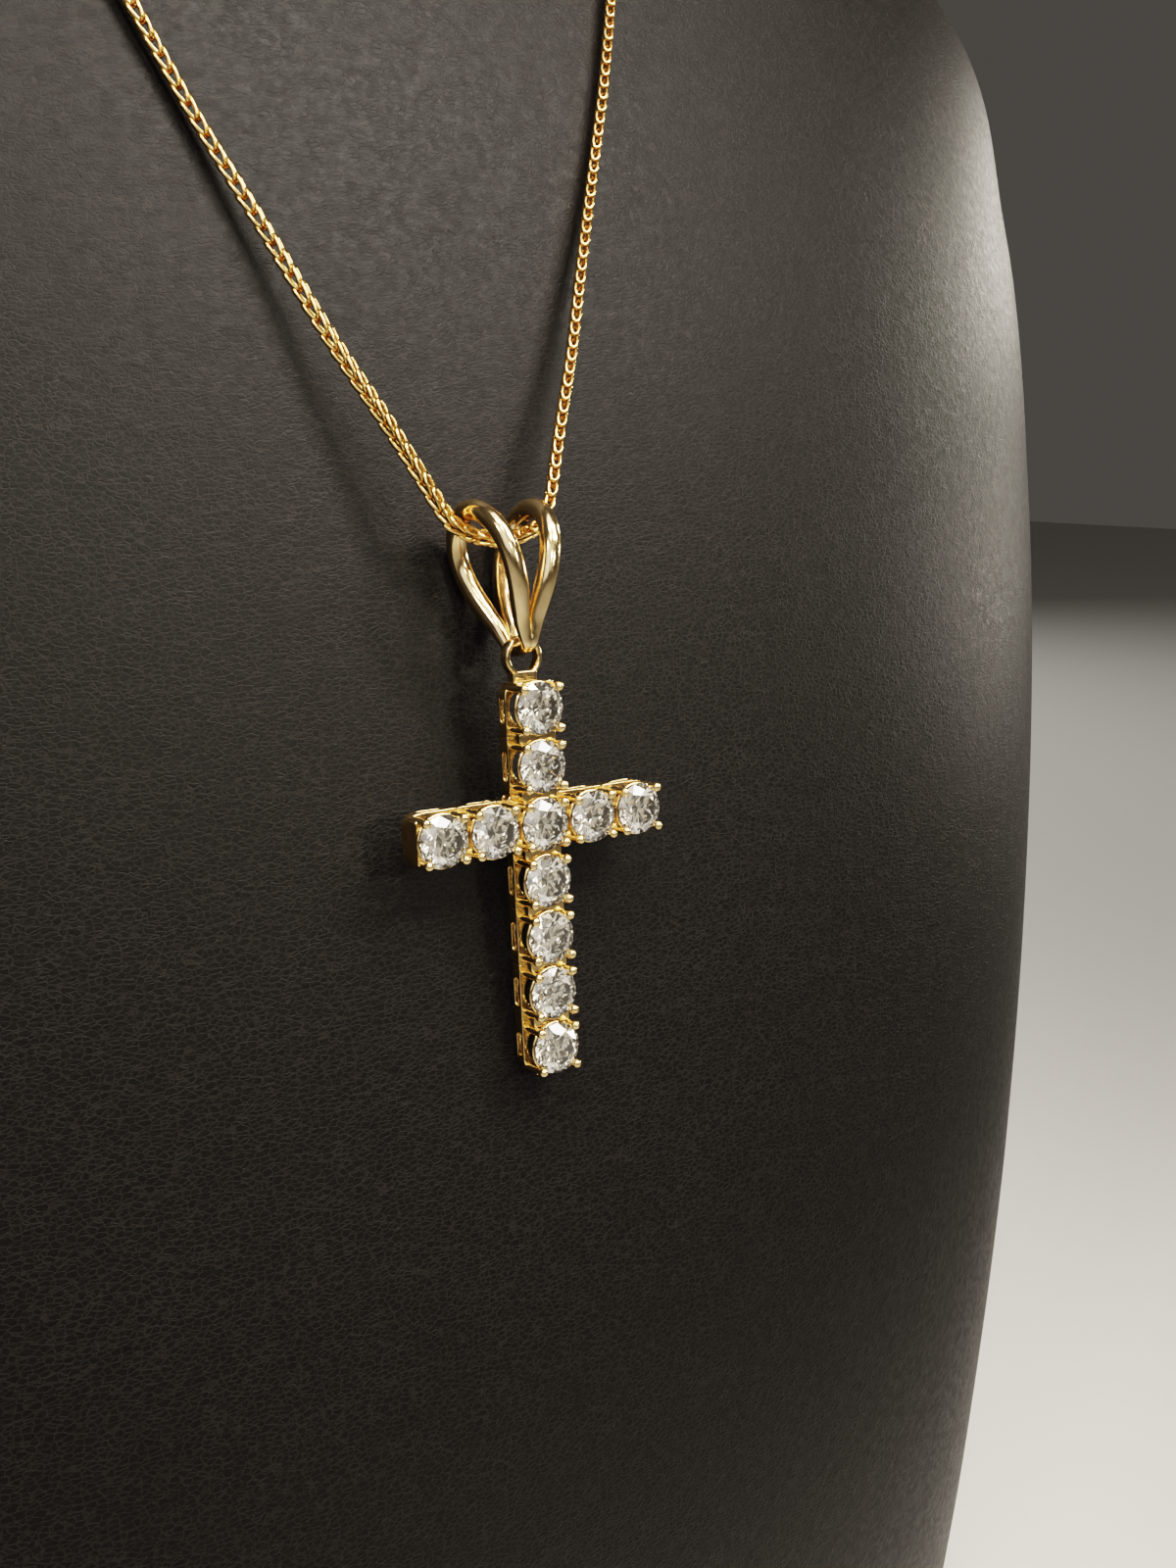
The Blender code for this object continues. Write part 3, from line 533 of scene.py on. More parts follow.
def stone_material(tone):
    """A clear cut stone that bends light strongly, with faint warm and cool tinting that changes from place to
    place: colour painted in to stand for the stone's coloured fire.
    """
    painted_fire_to_metre = 1100
    warm = tuple(c * k for c, k in zip(tone, (1.0, 0.97, 0.90)))
    cool = tuple(c * k for c, k in zip(tone, (0.95, 0.98, 1.0)))
    material, nodes, links, shader = shader_of("clear_stone_facets")
    shader.inputs["Roughness"].default_value = 0.0
    shader.inputs["IOR"].default_value = 2.42
    shader.inputs["Transmission Weight"].default_value = 0.985
    # Painted fire: warm and cool patches in the body colour stand in for the coloured flashes of split light
    painted_fire = object_texture(nodes, links, "ShaderNodeTexVoronoi", painted_fire_to_metre)
    shade = ramp_of(nodes, links, painted_fire.outputs["Distance"], ((0.1, warm), (0.45, tone), (0.8, cool)))
    links.new(shade.outputs["Color"], shader.inputs["Base Color"])
    return material


def leatherette_material(bust):
    """Leatherette: small flat pebbles, wider than tall, between fine creases that come and go, and a soft sheen.

    The pebbles are cells on places that wander by a share of a pebble's width. The height is the cells' creases
    times patches where they fade, plus smaller wrinkles. The creases are coloured lighter than the pebbles, a
    painted highlight for the light that their edges catch.
    """
    squeeze_up, wander_share, relief, bump_strength = 1.7, 0.9, 0.00006, 0.48
    material, nodes, links, shader = shader_of("leatherette_grain")
    per_metre = 1 / bust.grain
    place = nodes.new("ShaderNodeTexCoord")
    stretch = nodes.new("ShaderNodeMapping")
    stretch.inputs["Scale"].default_value = (1.0, 1.0, squeeze_up)
    links.new(place.outputs["Object"], stretch.inputs["Vector"])
    wander = object_texture(nodes, links, "ShaderNodeTexNoise", per_metre * 0.9, Detail=1.5)
    shift = nodes.new("ShaderNodeVectorMath")
    shift.operation = "MULTIPLY_ADD"
    shift.inputs[1].default_value = (bust.grain * wander_share,) * 3
    links.new(wander.outputs["Color"], shift.inputs[0])
    links.new(stretch.outputs["Vector"], shift.inputs[2])
    pebbles = object_texture(nodes, links, "ShaderNodeTexVoronoi", per_metre, feature="DISTANCE_TO_EDGE")
    wrinkles = object_texture(nodes, links, "ShaderNodeTexNoise", per_metre * 2.4, Detail=1.0)
    for texture in (pebbles, wrinkles):
        links.new(shift.outputs["Vector"], texture.inputs["Vector"])
    crease_and_highlight = ramp_of(nodes, links, pebbles.outputs["Distance"], ((0.0, 0.0), (0.10, 0.85), (0.30, 1.0)))
    patches = object_texture(nodes, links, "ShaderNodeTexNoise", per_metre * 0.55, Detail=1.0)
    fade = ramp_of(nodes, links, patches.outputs["Fac"], ((0.36, 0.28), (0.64, 0.8)))
    folds = ramp_of(nodes, links, wrinkles.outputs["Fac"], ((0.36, 0.0), (0.46, 0.34), (0.64, 0.42)))
    height = nodes.new("ShaderNodeMath")
    height.operation = "MULTIPLY_ADD"
    links.new(crease_and_highlight.outputs["Color"], height.inputs[0])
    links.new(fade.outputs["Color"], height.inputs[1])
    links.new(folds.outputs["Color"], height.inputs[2])
    # Painted highlight: the creases get a lighter colour than the pebbles, for the light that their edges catch
    tones = ((0.25, tuple(bust.crease_and_highlight)), (0.9, tuple(bust.colour)))
    shade = ramp_of(nodes, links, crease_and_highlight.outputs["Color"], tones)
    links.new(shade.outputs["Color"], shader.inputs["Base Color"])
    rough = ramp_of(nodes, links, wander.outputs["Fac"], ((0.3, 0.40), (0.7, 0.52)))
    links.new(rough.outputs["Color"], shader.inputs["Roughness"])
    shader.inputs["Specular IOR Level"].default_value = 0.085
    bump_of(nodes, links, shader, height.outputs["Value"], relief, bump_strength)
    return material


# Places of the cross's pieces

def frame_sizes():
    """The cross's sizes in millimetres, and what follows from them."""
    stones, sizes = bpy.context.scene.pendant_stones, bpy.context.scene.pendant_frame
    s = SimpleNamespace(**{key: getattr(sizes, key) / MM for key in FrameSettings.__annotations__})
    s.diameter, s.girdle_depth = stones.diameter / MM, stones.girdle_depth / MM
    s.radius = s.diameter / 2
    s.pitch = s.diameter + stones.spacing / MM
    s.girdle_back = s.girdle_depth + s.diameter * stones.girdle
    s.cone = s.diameter * stones.pavilion
    s.prong_offset = (s.radius - s.reach + s.ball / 2) / math.sqrt(2)
    s.back = s.depth - s.ball / 2
    s.gallery_front = s.back - s.gallery
    s.ring_back = s.back - s.ring_depth / 2
    s.top = 2 * s.pitch + s.radius + s.foot_height
    s.ring_up = s.top + s.ring_hole / 2 - RING_SINK
    s.middle = s.gallery_front + s.gallery / 2
    s.web_half = s.prong_offset + WEB_LAP
    s.web_foot = s.gallery_front + WEB_SINK
    return s


def cross_place(s):
    """The place of the cross's own origin, worked out from the bar that it hangs on."""
    bail = bpy.context.scene.pendant_bail
    bar_up = s.ring_up + s.ring_hole / 2 - BAR_ROOM - bail.bar / MM / 2
    return BAR - s.ring_back * CROSS_BACK - bar_up * CROSS_UP


def in_cross(piece, s):
    """A shell of the cross, given as across, back and up from its centre stone, laid in the frame."""
    return moved(turned(piece, (1, 0, 0), CROSS_BACK, CROSS_UP), cross_place(s))


def prong_shell(s):
    """A prong: a wire from inside the gallery to a slightly narrower neck and a ball tip."""
    wire, ball = s.prong / 2, s.ball / 2
    join = math.asin(min(wire / ball, 1.0))
    turn = np.linspace(math.pi - join, 0, 10)
    rod = [(0, s.middle), (wire, s.middle)]
    neck = [(wire, ball * 1.6), (wire * 0.96, ball * 1.15)]
    tip = np.stack((ball * np.sin(turn), -ball * np.cos(turn)), axis=-1)
    return lathe(rod + neck + list(tip[1:]), sides=18)


def clear_depth(across, up, centres, s):
    """How far back metal starts under the stones: each stone's cone with its room, and the webs' level."""
    depth = np.full_like(across, s.girdle_back + s.web_drop)
    wide = s.radius + STONE_ROOM
    for x, z in centres:
        reach = np.hypot(across - x, up - z)
        cone = s.girdle_back + (wide - reach) * s.cone / s.radius + STONE_ROOM / 2
        depth = np.maximum(depth, np.where(reach < wide, cone, 0))
    return depth


def saddle_shell(half_up, centres, s):
    """A block between stones whose front follows the room under them.

    Its front is rings of a superellipse, at shares of the outline, that drop by a rounding near the rim.
    """
    rings = ((0, 0), (0.25, 0), (0.5, 0), (0.75, 0), (0.9, 0.01), (0.97, 0.045), (1.0, 0.10))
    shares, rounding = np.array(rings).T
    flat = ellipse(s.web_half, half_up, 7.0, 48)[None] * shares[:, None, None]
    front = clear_depth(flat[..., 0], flat[..., 1], centres, s) + rounding[:, None]
    top = np.stack((flat[..., 0], front, flat[..., 1]), axis=-1)
    foot = top[-1:] * (1, 0, 1) + (0, s.web_foot, 0)
    end = foot * (0, 1, 0)
    return shell(np.concatenate((top, foot, end)), closed_columns=True)


def plate_shells(open_to, s):
    """The gallery's two plates behind a stone, which reach halfway to each neighbour that the cell is open to."""
    reach = [s.pitch / 2 if free else s.radius - PLATE_SETBACK for free in open_to]
    corners = [SHARP_CORNER if open_to[k] or open_to[(k + 1) % 4] else s.corner for k in range(4)]
    rim = rounded_cell(-reach[2], reach[0], -reach[3], reach[1], corners)
    hole = ellipse(s.radius - s.wall, s.radius - s.wall, 2.0, 64)
    (front, front_inset), (back, back_inset) = GALLERY_PLATES
    return [moved(pierced_plate(rim, hole, front, PLATE_ROUNDING), (0, s.gallery_front + front_inset, 0)),
            moved(pierced_plate(rim, hole, back, PLATE_ROUNDING), (0, s.back - back_inset, 0))]


# Walls round a stone's cell are given as across, back and ahead, from the stone towards the cell's side

def web_shells(s):
    """The web between a stone and the next one ahead."""
    half = s.pitch / 2
    return [moved(saddle_shell(s.web / 2, ((0, -half), (0, half)), s), (0, 0, half))]


def side_shells(start, end, s):
    """A pierced side wall of the gallery between two places along it, with its slot behind the stone."""
    middle, half = (start + end) / 2, (end - start) / 2
    slot_end = s.slot_width / 2
    rim = rounded_cell(-half, half, -s.gallery / 2, s.gallery / 2, (0.05,) * 4)
    slot = rounded_cell(-middle - s.slot_length / 2, s.slot_length / 2 - middle, -slot_end, slot_end,
                        (slot_end - 0.01,) * 4)
    plate = turned(pierced_plate(rim, slot, s.wall, 0.08), (1, 0, 0), (0, 0, 1), (0, 1, 0))
    return [moved(plate, (middle, s.middle, s.radius - s.wall / 2))]


def arm_end_shells(s):
    """The end of an arm: the gallery's plain wall and rounded corners, and the wall that holds the prongs."""
    lap, setback, straight = 0.1, 0.02, s.radius - s.corner
    plain = pebble((straight + lap, s.wall / 2, s.gallery / 2 - setback), 9.0, 16, 32)
    plain = turned(plain, (1, 0, 0), (0, 0, 1), (0, 1, 0))
    out = s.radius - s.end_wall / 2 - setback
    pieces = [moved(plain, (0, s.middle, s.radius - s.wall / 2)),
              moved(saddle_shell(s.end_wall / 2, ((0, -out),), s), (0, 0, out))]
    for side in (-1, 1):
        bend = turned(corner_wall(s.corner, s.wall, s.gallery - 0.03), (0, 0, 1), (0, 1, 0), (side, 0, 0))
        pieces.append(moved(bend, (side * straight, s.middle, straight)))
    return pieces


def cell_walls(side, open_to, s):
    """The walls on one side of a stone's cell; a web belongs to the cell on its left or below it."""
    after, opposite, before = (open_to[(side + n) % 4] for n in (1, 2, 3))
    if open_to[side]:
        return web_shells(s) if sum(CELL_SIDES[side]) > 0 else []
    if opposite and not after and not before:
        return arm_end_shells(s)
    short = s.radius - s.corner + 0.1
    return side_shells(-(s.pitch / 2 if before else short), s.pitch / 2 if after else short, s)


def basket_walls(s):
    """Gallery plates, pierced side walls, webs, end walls and rounded corners of the whole cross."""
    cells = [(x, z) for _, x, z in STONE_CELLS]
    pieces = []
    for x, z in cells:
        open_to = [(x + dx, z + dz) in cells for dx, dz in CELL_SIDES]
        walls = plate_shells(open_to, s)
        for side, (dx, dz) in enumerate(CELL_SIDES):
            walls += [turned(wall, (-dz, 0, dx), (0, 1, 0), (dx, 0, dz)) for wall in cell_walls(side, open_to, s)]
        pieces += [moved(wall, (x * s.pitch, 0, z * s.pitch)) for wall in walls]
    return joined(pieces)


def frame_shell(s):
    """All the cross's metal: walls, seat rings, prongs, foot and ring."""
    step, seat_drop, foot_sink = 0.02, 0.39, 0.17
    prong, seat = prong_shell(s), hoop(s.radius - 0.06, 0.19, 0.20, 2.0, steps=56, sides=12)
    pieces = [basket_walls(s)]
    for _, x, z in STONE_CELLS:
        place = np.array((x, 0, z)) * s.pitch
        pieces.append(moved(seat, place + (0, s.girdle_back + seat_drop, 0)))
        pieces += [moved(prong, place + (right * s.prong_offset, 0, up * s.prong_offset))
                   for right in (-1, 1) for up in (-1, 1)]
    ring = hoop((s.ring_hole + s.ring_rim) / 2, s.ring_rim / 2, s.ring_depth / 2, 2.8, steps=72, sides=24)
    pieces.append(moved(ring, (0, s.ring_back, s.ring_up)))
    foot_half = (s.foot_width / 2, s.ring_depth / 2 - step, s.foot_height / 2 + foot_sink)
    foot = pebble(foot_half, 9.0, rows=28, sides=56)
    pieces.append(moved(foot, (0, s.ring_back - step, s.top - foot_half[2])))
    return joined(pieces)


def stone_points(s):
    """Corners of a round brilliant's facets: table, stars' ends, both rims of the girdle, pavilion mains and point.

    A kite's plane holds the table's corner, the girdle's corner and the line across them, which gives the height
    of the places where the stars end. The pavilion's mains do the same towards the point at the back.
    """
    cut = bpy.context.scene.pendant_stones
    radius = s.radius
    table, crown = radius * cut.table, s.diameter * cut.crown
    mid = math.cos(math.pi / 8)
    star = (table * mid + radius) / 2
    star_height = crown * (radius - star * mid) / (radius - table)
    tip = radius * 0.22
    tip_depth = s.cone * (1 - tip * mid / radius)
    levels = (
        (table, s.girdle_depth - crown, 8, 0.0),
        (star, s.girdle_depth - star_height, 8, 0.5),
        (radius, s.girdle_depth, 16, 0.0),
        (radius, s.girdle_back, 16, 0.0),
        (tip, s.girdle_back + tip_depth, 8, 0.5),
    )
    points = []
    for reach, depth, count, start in levels:
        turn = 2 * np.pi * (np.arange(count) + start) / count
        points.append(np.stack((reach * np.cos(turn), np.full(count, depth), reach * np.sin(turn)), axis=-1))
    points.append(np.array(((0, s.girdle_back + s.cone, 0),)))
    return np.concatenate(points)


def stone_faces():
    """The facets of a brilliant as lists of its corners.

    They are numbered as the points are made: 8 of the table, 8 of the stars, 16 and 16 of the girdle, 8 of the
    mains and 1 at the back.
    """
    faces = [list(range(8))]
    for k in range(8):
        n = (k + 1) % 8
        star, last_star = 8 + k, 8 + (k - 1) % 8
        corner, between, after = 16 + 2 * k, 16 + 2 * k + 1, 16 + (2 * k + 2) % 16
        low = [v + 16 for v in (corner, between, after)]
        tip, last_tip = 48 + k, 48 + (k - 1) % 8
        faces += [[k, n, star], [k, star, corner, last_star], [star, between, corner], [star, after, between],
                  [corner, between, low[1], low[0]], [between, after, low[2], low[1]],
                  [low[0], low[1], tip], [low[1], low[2], tip], [low[0], tip, 56, last_tip]]
    return faces


def bail_loop(side, steps, sides):
    """One loop: a round wire carried round a leaning plane, thicker in its limbs than in its bar."""
    bail = bpy.context.scene.pendant_bail
    height, depth, thick = np.array(LOOP_STATIONS).T
    tall, half_deep = bail.height / MM, bail.depth / MM / 2
    run = np.concatenate(([0], np.cumsum(np.hypot(np.diff(height) * tall, np.diff(depth) * half_deep))))
    at = np.linspace(0, run[-1], steps // 2 + 1)
    up, out = smooth_value(run, height, at) * tall, smooth_value(run, depth, at) * half_deep
    radius = (bail.bar + smooth_value(run, thick, at) * (bail.limb - bail.bar)) / MM / 2
    half = np.column_stack((out, up, radius))
    whole = np.concatenate((half, half[-2:0:-1] * (-1, 1, 1)))
    lean = bail.lean * side
    plane_up = math.sin(lean) * np.array((1, 0, 0)) + math.cos(lean) * BAIL_UP
    plane_side = math.cos(lean) * np.array((1, 0, 0)) - math.sin(lean) * BAIL_UP
    path = BAR + np.outer(whole[:, 1], plane_up) + np.outer(whole[:, 0], BAIL_BACK)
    path[:, 0] += side * bail.offset / MM
    return tube(path, whole[:, 2], sides, plane_side)


# The bust and the chain's route on it

def bust_section(up):
    """Half width, front, back and squareness of the bust at heights in millimetres."""
    bust = bpy.context.scene.pendant_bust
    columns = np.array(BUST_STATIONS).T
    at = np.clip(np.asarray(up, float) / (bust.height / MM), 0, 1)
    half_width, front, back, squareness = (smooth_value(columns[0], c, at) for c in columns[1:])
    deep = bust.depth / MM
    return half_width * bust.width / MM / 2, (front - 0.5) * deep, (back - 0.5) * deep, squareness


def bust_ring(up, turn, grow=0.0):
    """A point of the bust's skin: a superellipse at each height, with turn 0 at the front."""
    half_width, front, back, squareness = bust_section(up)
    exponent = 2 / squareness
    across = (half_width + grow) * power(np.sin(turn), exponent)
    deep = (front + back) / 2 - ((back - front) / 2 + grow) * power(np.cos(turn), exponent)
    return across, deep


def bust_front(across, up):
    """Depth of the bust's front skin at a place seen from the front."""
    half_width, front, back, squareness = bust_section(up)
    rest = np.clip(1 - np.abs(across / half_width) ** squareness, 0, 1)
    return (front + back) / 2 - (back - front) / 2 * rest ** (1 / squareness)


def bust_shell():
    """The bust's skin over turn and height, rounded at its base and at its neck's top, and closed at both ends."""
    bust = bpy.context.scene.pendant_bust
    levels, cap_share = 150, 0.9
    tall, edge = bust.height / MM, bust.edge / MM
    curve = np.linspace(0, np.pi / 2, 6)
    base_up, base_in = edge / 2 * (1 - np.cos(curve)), edge / 2 * (np.sin(curve) - 1)
    top_up, top_in = tall - edge * (1 - np.sin(curve)), edge * (np.cos(curve) - 1)
    middle = np.linspace(base_up[-1], top_up[0], levels)[1:-1]
    up = np.concatenate((base_up, middle, top_up))
    grow = np.concatenate((base_in, np.zeros(len(middle)), top_in))
    turn = 2 * np.pi * (np.arange(bust.sides) + 0.5) / bust.sides
    up, turn = np.meshgrid(up, turn, indexing="ij")
    across, deep = bust_ring(up, turn, np.repeat(grow[:, None], bust.sides, axis=1))
    skin = np.stack((across, deep, up), axis=-1)
    low_end = skin[:1] * (0, 0, 1) + (0, skin[0, :, 1].mean(), 0)
    high_end = skin[-1:] * (0, 0, 1) + (0, skin[-1, :, 1].mean(), 0)
    inner_low = skin[:1] * cap_share + low_end * (1 - cap_share)
    inner_high = skin[-1:] * cap_share + high_end * (1 - cap_share)
    return shell(np.concatenate((low_end, inner_low, skin, inner_high, high_end)), closed_columns=True)


def between(stations, count):
    """A smooth curve through rows of stations, at an even count of places in each stretch."""
    stations = np.array(stations)
    at = np.linspace(0, len(stations) - 1, (len(stations) - 1) * count + 1)
    return np.column_stack([smooth_value(np.arange(len(stations)), column, at) for column in stations.T])


def off_skin(skin, a, b, lift):
    """The place that stands off a skin by the lift, square to it; the skin turns two numbers into a point."""
    step = 0.01
    here = skin(a, b)
    off = np.cross(skin(a + step, b) - here, skin(a, b + step) - here)
    return here + off * lift / np.linalg.norm(off)


def chain_curve():
    """The chain's middle line as many close points, from the clasp's right end to its left one, and their run."""
    sizes = bpy.context.scene.pendant_chain

    def front(x, up):
        return np.array((x, bust_front(x, up), up))

    def neck(turn, up):
        return np.array((*bust_ring(up, turn), up))

    lift = (sizes.diameter / 2 + sizes.rest_gap) / MM
    half = [(x, BEARING[1] + y, BEARING[2] + z) for x, y, z in CHAIN_FREE_ROUTE]
    half += [off_skin(front, x, BEARING[2] + z, lift) for x, z in between(CHAIN_REST_ROUTE, 3)]
    half += [off_skin(neck, math.radians(degrees), BEARING[2] + z, lift)
             for degrees, z in between(CHAIN_NECK_ROUTE, 3)]
    up = half[-1][2]
    thicker = (sizes.clasp_thickness - sizes.diameter) / 2 / MM
    half.append((sizes.clasp_length / 2 / MM + CLASP_GAP, bust_ring(up, math.pi, lift + thicker)[1], up))
    half = np.array(half, float)
    route = np.concatenate((half[:0:-1], half * (-1, 1, 1)))
    run = np.concatenate(([0], np.cumsum(np.linalg.norm(np.diff(route, axis=0), axis=1))))
    fine = np.linspace(0, run[-1], 6000)
    curve = np.column_stack([smooth_value(run, route[:, i], fine) for i in range(3)])
    steps = np.concatenate(([0], np.cumsum(np.linalg.norm(np.diff(curve, axis=0), axis=1))))
    return curve, steps


def link_shell(pitch, half_width, wire):
    """One link: a ring folded in two across its middle, so that both its ends point along the chain.

    A quarter of the ring is a smooth curve through stations that give out, through and along as shares: out from
    the middle to the chain's side, through to the ring's half width, and along from the fold to the ring's end.
    The other quarters are its mirror images, and a four sided wire is carried round them.
    """
    side, tall = half_width - wire / 2, pitch + 1.1 * wire
    quarter = np.array(LINK_STATIONS) * (side, side, tall)
    ring = np.concatenate((quarter[:-1], quarter[:0:-1] * (1, -1, 1), quarter[:-1] * (-1, -1, 1),
                           quarter[:0:-1] * (-1, 1, 1)))
    ahead = np.roll(ring, -1, axis=0) - np.roll(ring, 1, axis=0)
    ahead /= np.linalg.norm(ahead, axis=1)[:, None]
    aside = ring - (0, 0, tall * 1.2)
    aside -= (aside * ahead).sum(axis=1)[:, None] * ahead
    aside /= np.linalg.norm(aside, axis=1)[:, None]
    other = np.cross(ahead, aside)
    around = 2 * np.pi * np.arange(4) / 4
    section = aside[:, None] * np.cos(around)[None, :, None] + other[:, None] * np.sin(around)[None, :, None]
    return shell(ring[:, None] + wire / 2 * section, True, True)


def chain_shell():
    """The links: one shape stamped along the curve, its axes turned by the chain's twist."""
    sizes = bpy.context.scene.pendant_chain
    curve, run = chain_curve()
    pitch, wire = sizes.pitch / MM, sizes.wire / MM
    count = int((run[-1] - 2 * wire) / pitch)
    at = wire + np.arange(count) * (run[-1] - 2 * wire) / count
    places = np.column_stack([np.interp(at, run, curve[:, i]) for i in range(3)])
    ahead = np.column_stack([np.interp(at + pitch, run, curve[:, i]) for i in range(3)]) - places
    ahead /= np.linalg.norm(ahead, axis=1)[:, None]
    neck = np.clip((places[:, 2] - BEARING[2] - NECK_LOW) / (NECK_HIGH - NECK_LOW), 0, 1)[:, None]
    outward = (places - (0, places[:, 1].max() * 0.3, 0)) * (1, 1, 0)
    outward /= np.linalg.norm(outward, axis=1)[:, None]
    facing = np.array(CHAIN_FRONT) * (1 - neck) + outward * neck
    facing -= (facing * ahead).sum(axis=1)[:, None] * ahead
    facing /= np.linalg.norm(facing, axis=1)[:, None]
    beside = np.cross(facing, ahead)
    stations = np.array(CHAIN_TWIST).T
    twist = np.radians(smooth_value(stations[0], stations[1], run[-1] / 2 - at))[:, None]
    front = facing * np.cos(twist) + beside * np.sin(twist)
    side = np.cross(front, ahead)
    axes = np.stack((side, front, ahead), axis=1)
    return stamped(link_shell(pitch, sizes.link_width / 2 / MM, wire), places, axes)


def clasp_shell(half):
    """A plain box clasp: two rounded halves that meet in a fine line, a thumb tab on top and a ring at each end.

    The halves and the tab are superellipsoids whose sizes are shares of the clasp's half length, thickness and
    width. The tab and the rings are set into the halves.
    """
    long, thick, tall = half
    joint, ring_radius, ring_wire, ring_sink = 0.35, 0.62, 0.24, 0.25
    body_share, cap_share, cap_slim = 0.56, 0.50, 0.93
    body = pebble((tall, thick, long * body_share), 6.0, rows=32, sides=40)
    cap = pebble((tall * cap_slim, thick * cap_slim, long * cap_share), 6.0, rows=32, sides=40)
    tab = pebble((tall * 0.42, thick * 0.20, long * 0.30), 4.0, rows=24, sides=32)
    pieces = [moved(body, (0, 0, (1 - body_share) * long - joint)), moved(cap, (0, 0, joint - cap_share * long)),
              moved(tab, (tall * 0.35, thick * 0.85, -0.35 * long))]
    pieces = [turned(piece, (0, 0, 1), (0, 1, 0), (1, 0, 0)) for piece in pieces]
    ring = hoop(ring_radius, ring_wire / 2, ring_wire / 2, 2.0, steps=28, sides=10)
    return joined(pieces + [moved(ring, (side * (long - ring_sink), 0, 0)) for side in (-1, 1)])


# Operators


class PENDANT_OT_bust(Operator):
    """Make the leatherette bust"""

    bl_idname = "pendant.bust"
    bl_label = "Neck bust"

    def execute(self, context):
        material = leatherette_material(context.scene.pendant_bust)
        new_piece("leatherette_bust", bust_shell(), material, "stand", "neck_bust",
                  smooth_angle=50.0)
        return {"FINISHED"}


class PENDANT_OT_chain(Operator):
    """Make the chain's links and its clasp"""

    bl_idname = "pendant.chain"
    bl_label = "Chain"

    def execute(self, context):
        gold, sizes = context.scene.pendant_gold, context.scene.pendant_chain
        material = gold_material("chain_gold", tuple(gold.chain_colour), gold.roughness, wave_height=0.000003)
        new_piece("chain_links", chain_shell(), material, "stand", "chain", smooth_angle=180.0)
        low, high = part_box("clasp")
        middle = np.array((low + high) / 2) / MM
        half = np.array((sizes.clasp_length, sizes.clasp_thickness, sizes.clasp_width)) / MM / 2
        new_piece("chain_clasp", moved(clasp_shell(half), middle), material, "stand", "clasp")
        return {"FINISHED"}


class PENDANT_OT_bail(Operator):
    """Make the split bail"""

    bl_idname = "pendant.bail"
    bl_label = "Bail"

    def execute(self, context):
        gold = context.scene.pendant_gold
        material = gold_material("bail_gold", tuple(gold.pale_colour), gold.roughness * 0.9, wave_height=0.000016)
        loops = joined([bail_loop(side, steps=140, sides=28) for side in (-1, 1)])
        new_piece("split_bail", loops, material, "bail", "bail", smooth_angle=60.0)
        return {"FINISHED"}


class PENDANT_OT_cross(Operator):
    """Make the cross's baskets, prongs, foot and ring"""

    bl_idname = "pendant.cross"
    bl_label = "Cross"

    def execute(self, context):
        gold, s = context.scene.pendant_gold, frame_sizes()
        material = gold_material("cross_gold", tuple(gold.colour), gold.roughness, wave_height=0.000005)
        new_piece("cross_baskets", in_cross(frame_shell(s), s), material, "cross", "cross_frame",
                  smooth_angle=45.0)
        return {"FINISHED"}


class PENDANT_OT_stones(Operator):
    """Make the round stones"""

    bl_idname = "pendant.stones"
    bl_label = "Stones"

    def execute(self, context):
        s = frame_sizes()
        material = stone_material(tuple(context.scene.pendant_stones.colour))
        brilliant = (stone_points(s), stone_faces())
        for name, x, z in STONE_CELLS:
            spin = math.radians(np.dot(STONE_TURN, (1, x, z)))
            stone = turned(brilliant, (math.cos(spin), 0, math.sin(spin)), (0, 1, 0),
                           (-math.sin(spin), 0, math.cos(spin)))
            stone = in_cross(moved(stone, (x * s.pitch, 0, z * s.pitch)), s)
            new_piece(name.replace("stone", "brilliant"), stone, material, "cross", name,
                      smooth_angle=0)
        return {"FINISHED"}


def area_lamp(name, place, target, size, watts, tint, spread):
    """A soft square lamp at a place in metres that points at a target, with the spread of its light in degrees."""
    data = bpy.data.lights.new(name, "AREA")
    data.spread = math.radians(spread)
    data.energy = watts
    data.size = size
    data.color = tint
    lamp = bpy.data.objects.new(name, data)
    lamp.location = place
    lamp.rotation_euler = (Vector(target) - Vector(place)).to_track_quat("-Z", "Y").to_euler()
    bpy.context.scene.collection.objects.link(lamp)


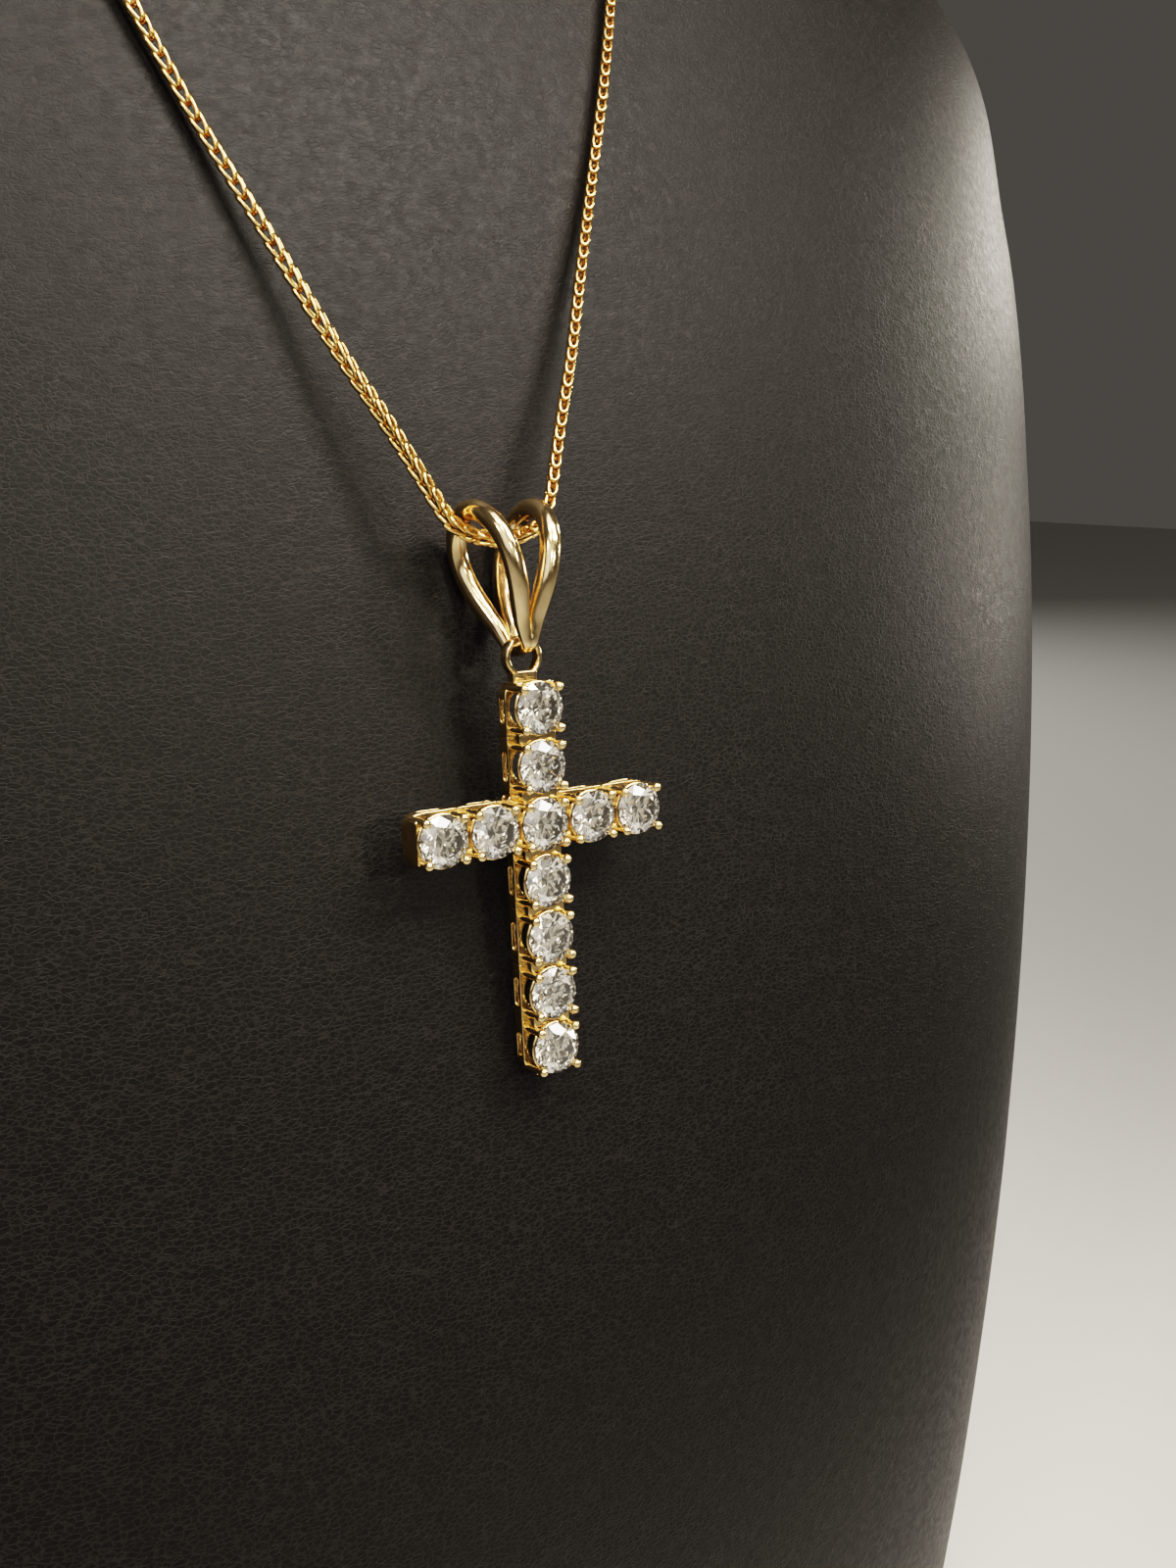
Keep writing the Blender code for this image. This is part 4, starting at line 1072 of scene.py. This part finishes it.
class PENDANT_OT_stage(Operator):
    """Make the floor, the lamps, the room's light and the camera"""

    bl_idname = "pendant.stage"
    bl_label = "Stage"

    def execute(self, context):
        scene, stage = context.scene, context.scene.pendant_stage
        mesh = bpy.data.meshes.new("floor")
        corners = [(x * FLOOR_HALF, y * FLOOR_HALF, 0) for x, y in ((-1, -1), (1, -1), (1, 1), (-1, 1))]
        mesh.from_pydata(corners, [], [(0, 1, 2, 3)])
        material, _, _, shader = shader_of("plain_floor")
        shader.inputs["Base Color"].default_value = (*stage.floor_colour, 1)
        shader.inputs["Roughness"].default_value = 0.7
        mesh.materials.append(material)
        floor = bpy.data.objects.new("floor", mesh)
        scene.collection.objects.link(floor)

        world = bpy.data.worlds.new("room")
        world.use_nodes = True
        background = world.node_tree.nodes["Background"]
        background.inputs["Color"].default_value = (*stage.world_colour, 1)
        background.inputs["Strength"].default_value = stage.world_strength
        scene.world = world

        for name, place, aim, size, tint, spread in LARGE_LAMPS:
            area_lamp(f"{name}_lamp", place, aim, size, getattr(stage, f"{name}_power"), tint, spread)
        for number, (azimuth, elevation, far) in enumerate(SMALL_LAMPS):
            turn, rise = math.radians(azimuth), math.radians(elevation)
            away = Vector((math.sin(turn) * math.cos(rise), -math.cos(turn) * math.cos(rise), math.sin(rise)))
            place = Vector(CHEST) + far * away
            area_lamp(f"small_lamp_{number}", place, CHEST, SMALL_LAMP_SIZE, stage.small_power, SMALL_LAMP_TINT,
                      SMALL_LAMP_SPREAD)

        data = bpy.data.cameras.new("camera")
        data.lens = CAMERA_LENS
        data.sensor_width = CAMERA_SENSOR
        data.clip_start = CAMERA_NEAR
        camera = bpy.data.objects.new("camera", data)
        ahead = Vector(CAMERA_AHEAD)
        right = ahead.cross(Vector(CAMERA_UP)).normalized()
        up = right.cross(ahead).normalized()
        turn = Matrix((right, up, -ahead.normalized())).transposed()
        camera.matrix_world = Matrix.Translation(Vector(CAMERA_PLACE)) @ turn.to_4x4()
        scene.collection.objects.link(camera)
        scene.camera = camera
        scene.view_settings.view_transform = "Filmic"
        scene.view_settings.look = "Medium High Contrast"
        return {"FINISHED"}


STEPS = (PENDANT_OT_stage, PENDANT_OT_bust, PENDANT_OT_chain, PENDANT_OT_bail, PENDANT_OT_cross,
         PENDANT_OT_stones)


class PENDANT_PT_panel(Panel):
    """Lists the pieces and their sizes"""

    bl_label = "Cross pendant"
    bl_idname = "PENDANT_PT_panel"
    bl_space_type = "VIEW_3D"
    bl_region_type = "UI"
    bl_category = "Pendant"

    def draw(self, context):
        for step in STEPS:
            self.layout.operator(step.bl_idname)
        for key, settings in SETTINGS.items():
            box = self.layout.box()
            for name in settings.__annotations__:
                box.prop(getattr(context.scene, key), name)


def register():
    for item in (*SETTINGS.values(), *STEPS, PENDANT_PT_panel):
        bpy.utils.register_class(item)
    for key, settings in SETTINGS.items():
        setattr(bpy.types.Scene, key, PointerProperty(type=settings))


def unregister():
    for key in SETTINGS:
        delattr(bpy.types.Scene, key)
    for item in (PENDANT_PT_panel, *reversed(STEPS), *reversed(SETTINGS.values())):
        bpy.utils.unregister_class(item)


def main():
    register()
    for step in STEPS:
        group, name = step.bl_idname.split(".")
        getattr(getattr(bpy.ops, group), name)()


if __name__ == "__main__":
    main()
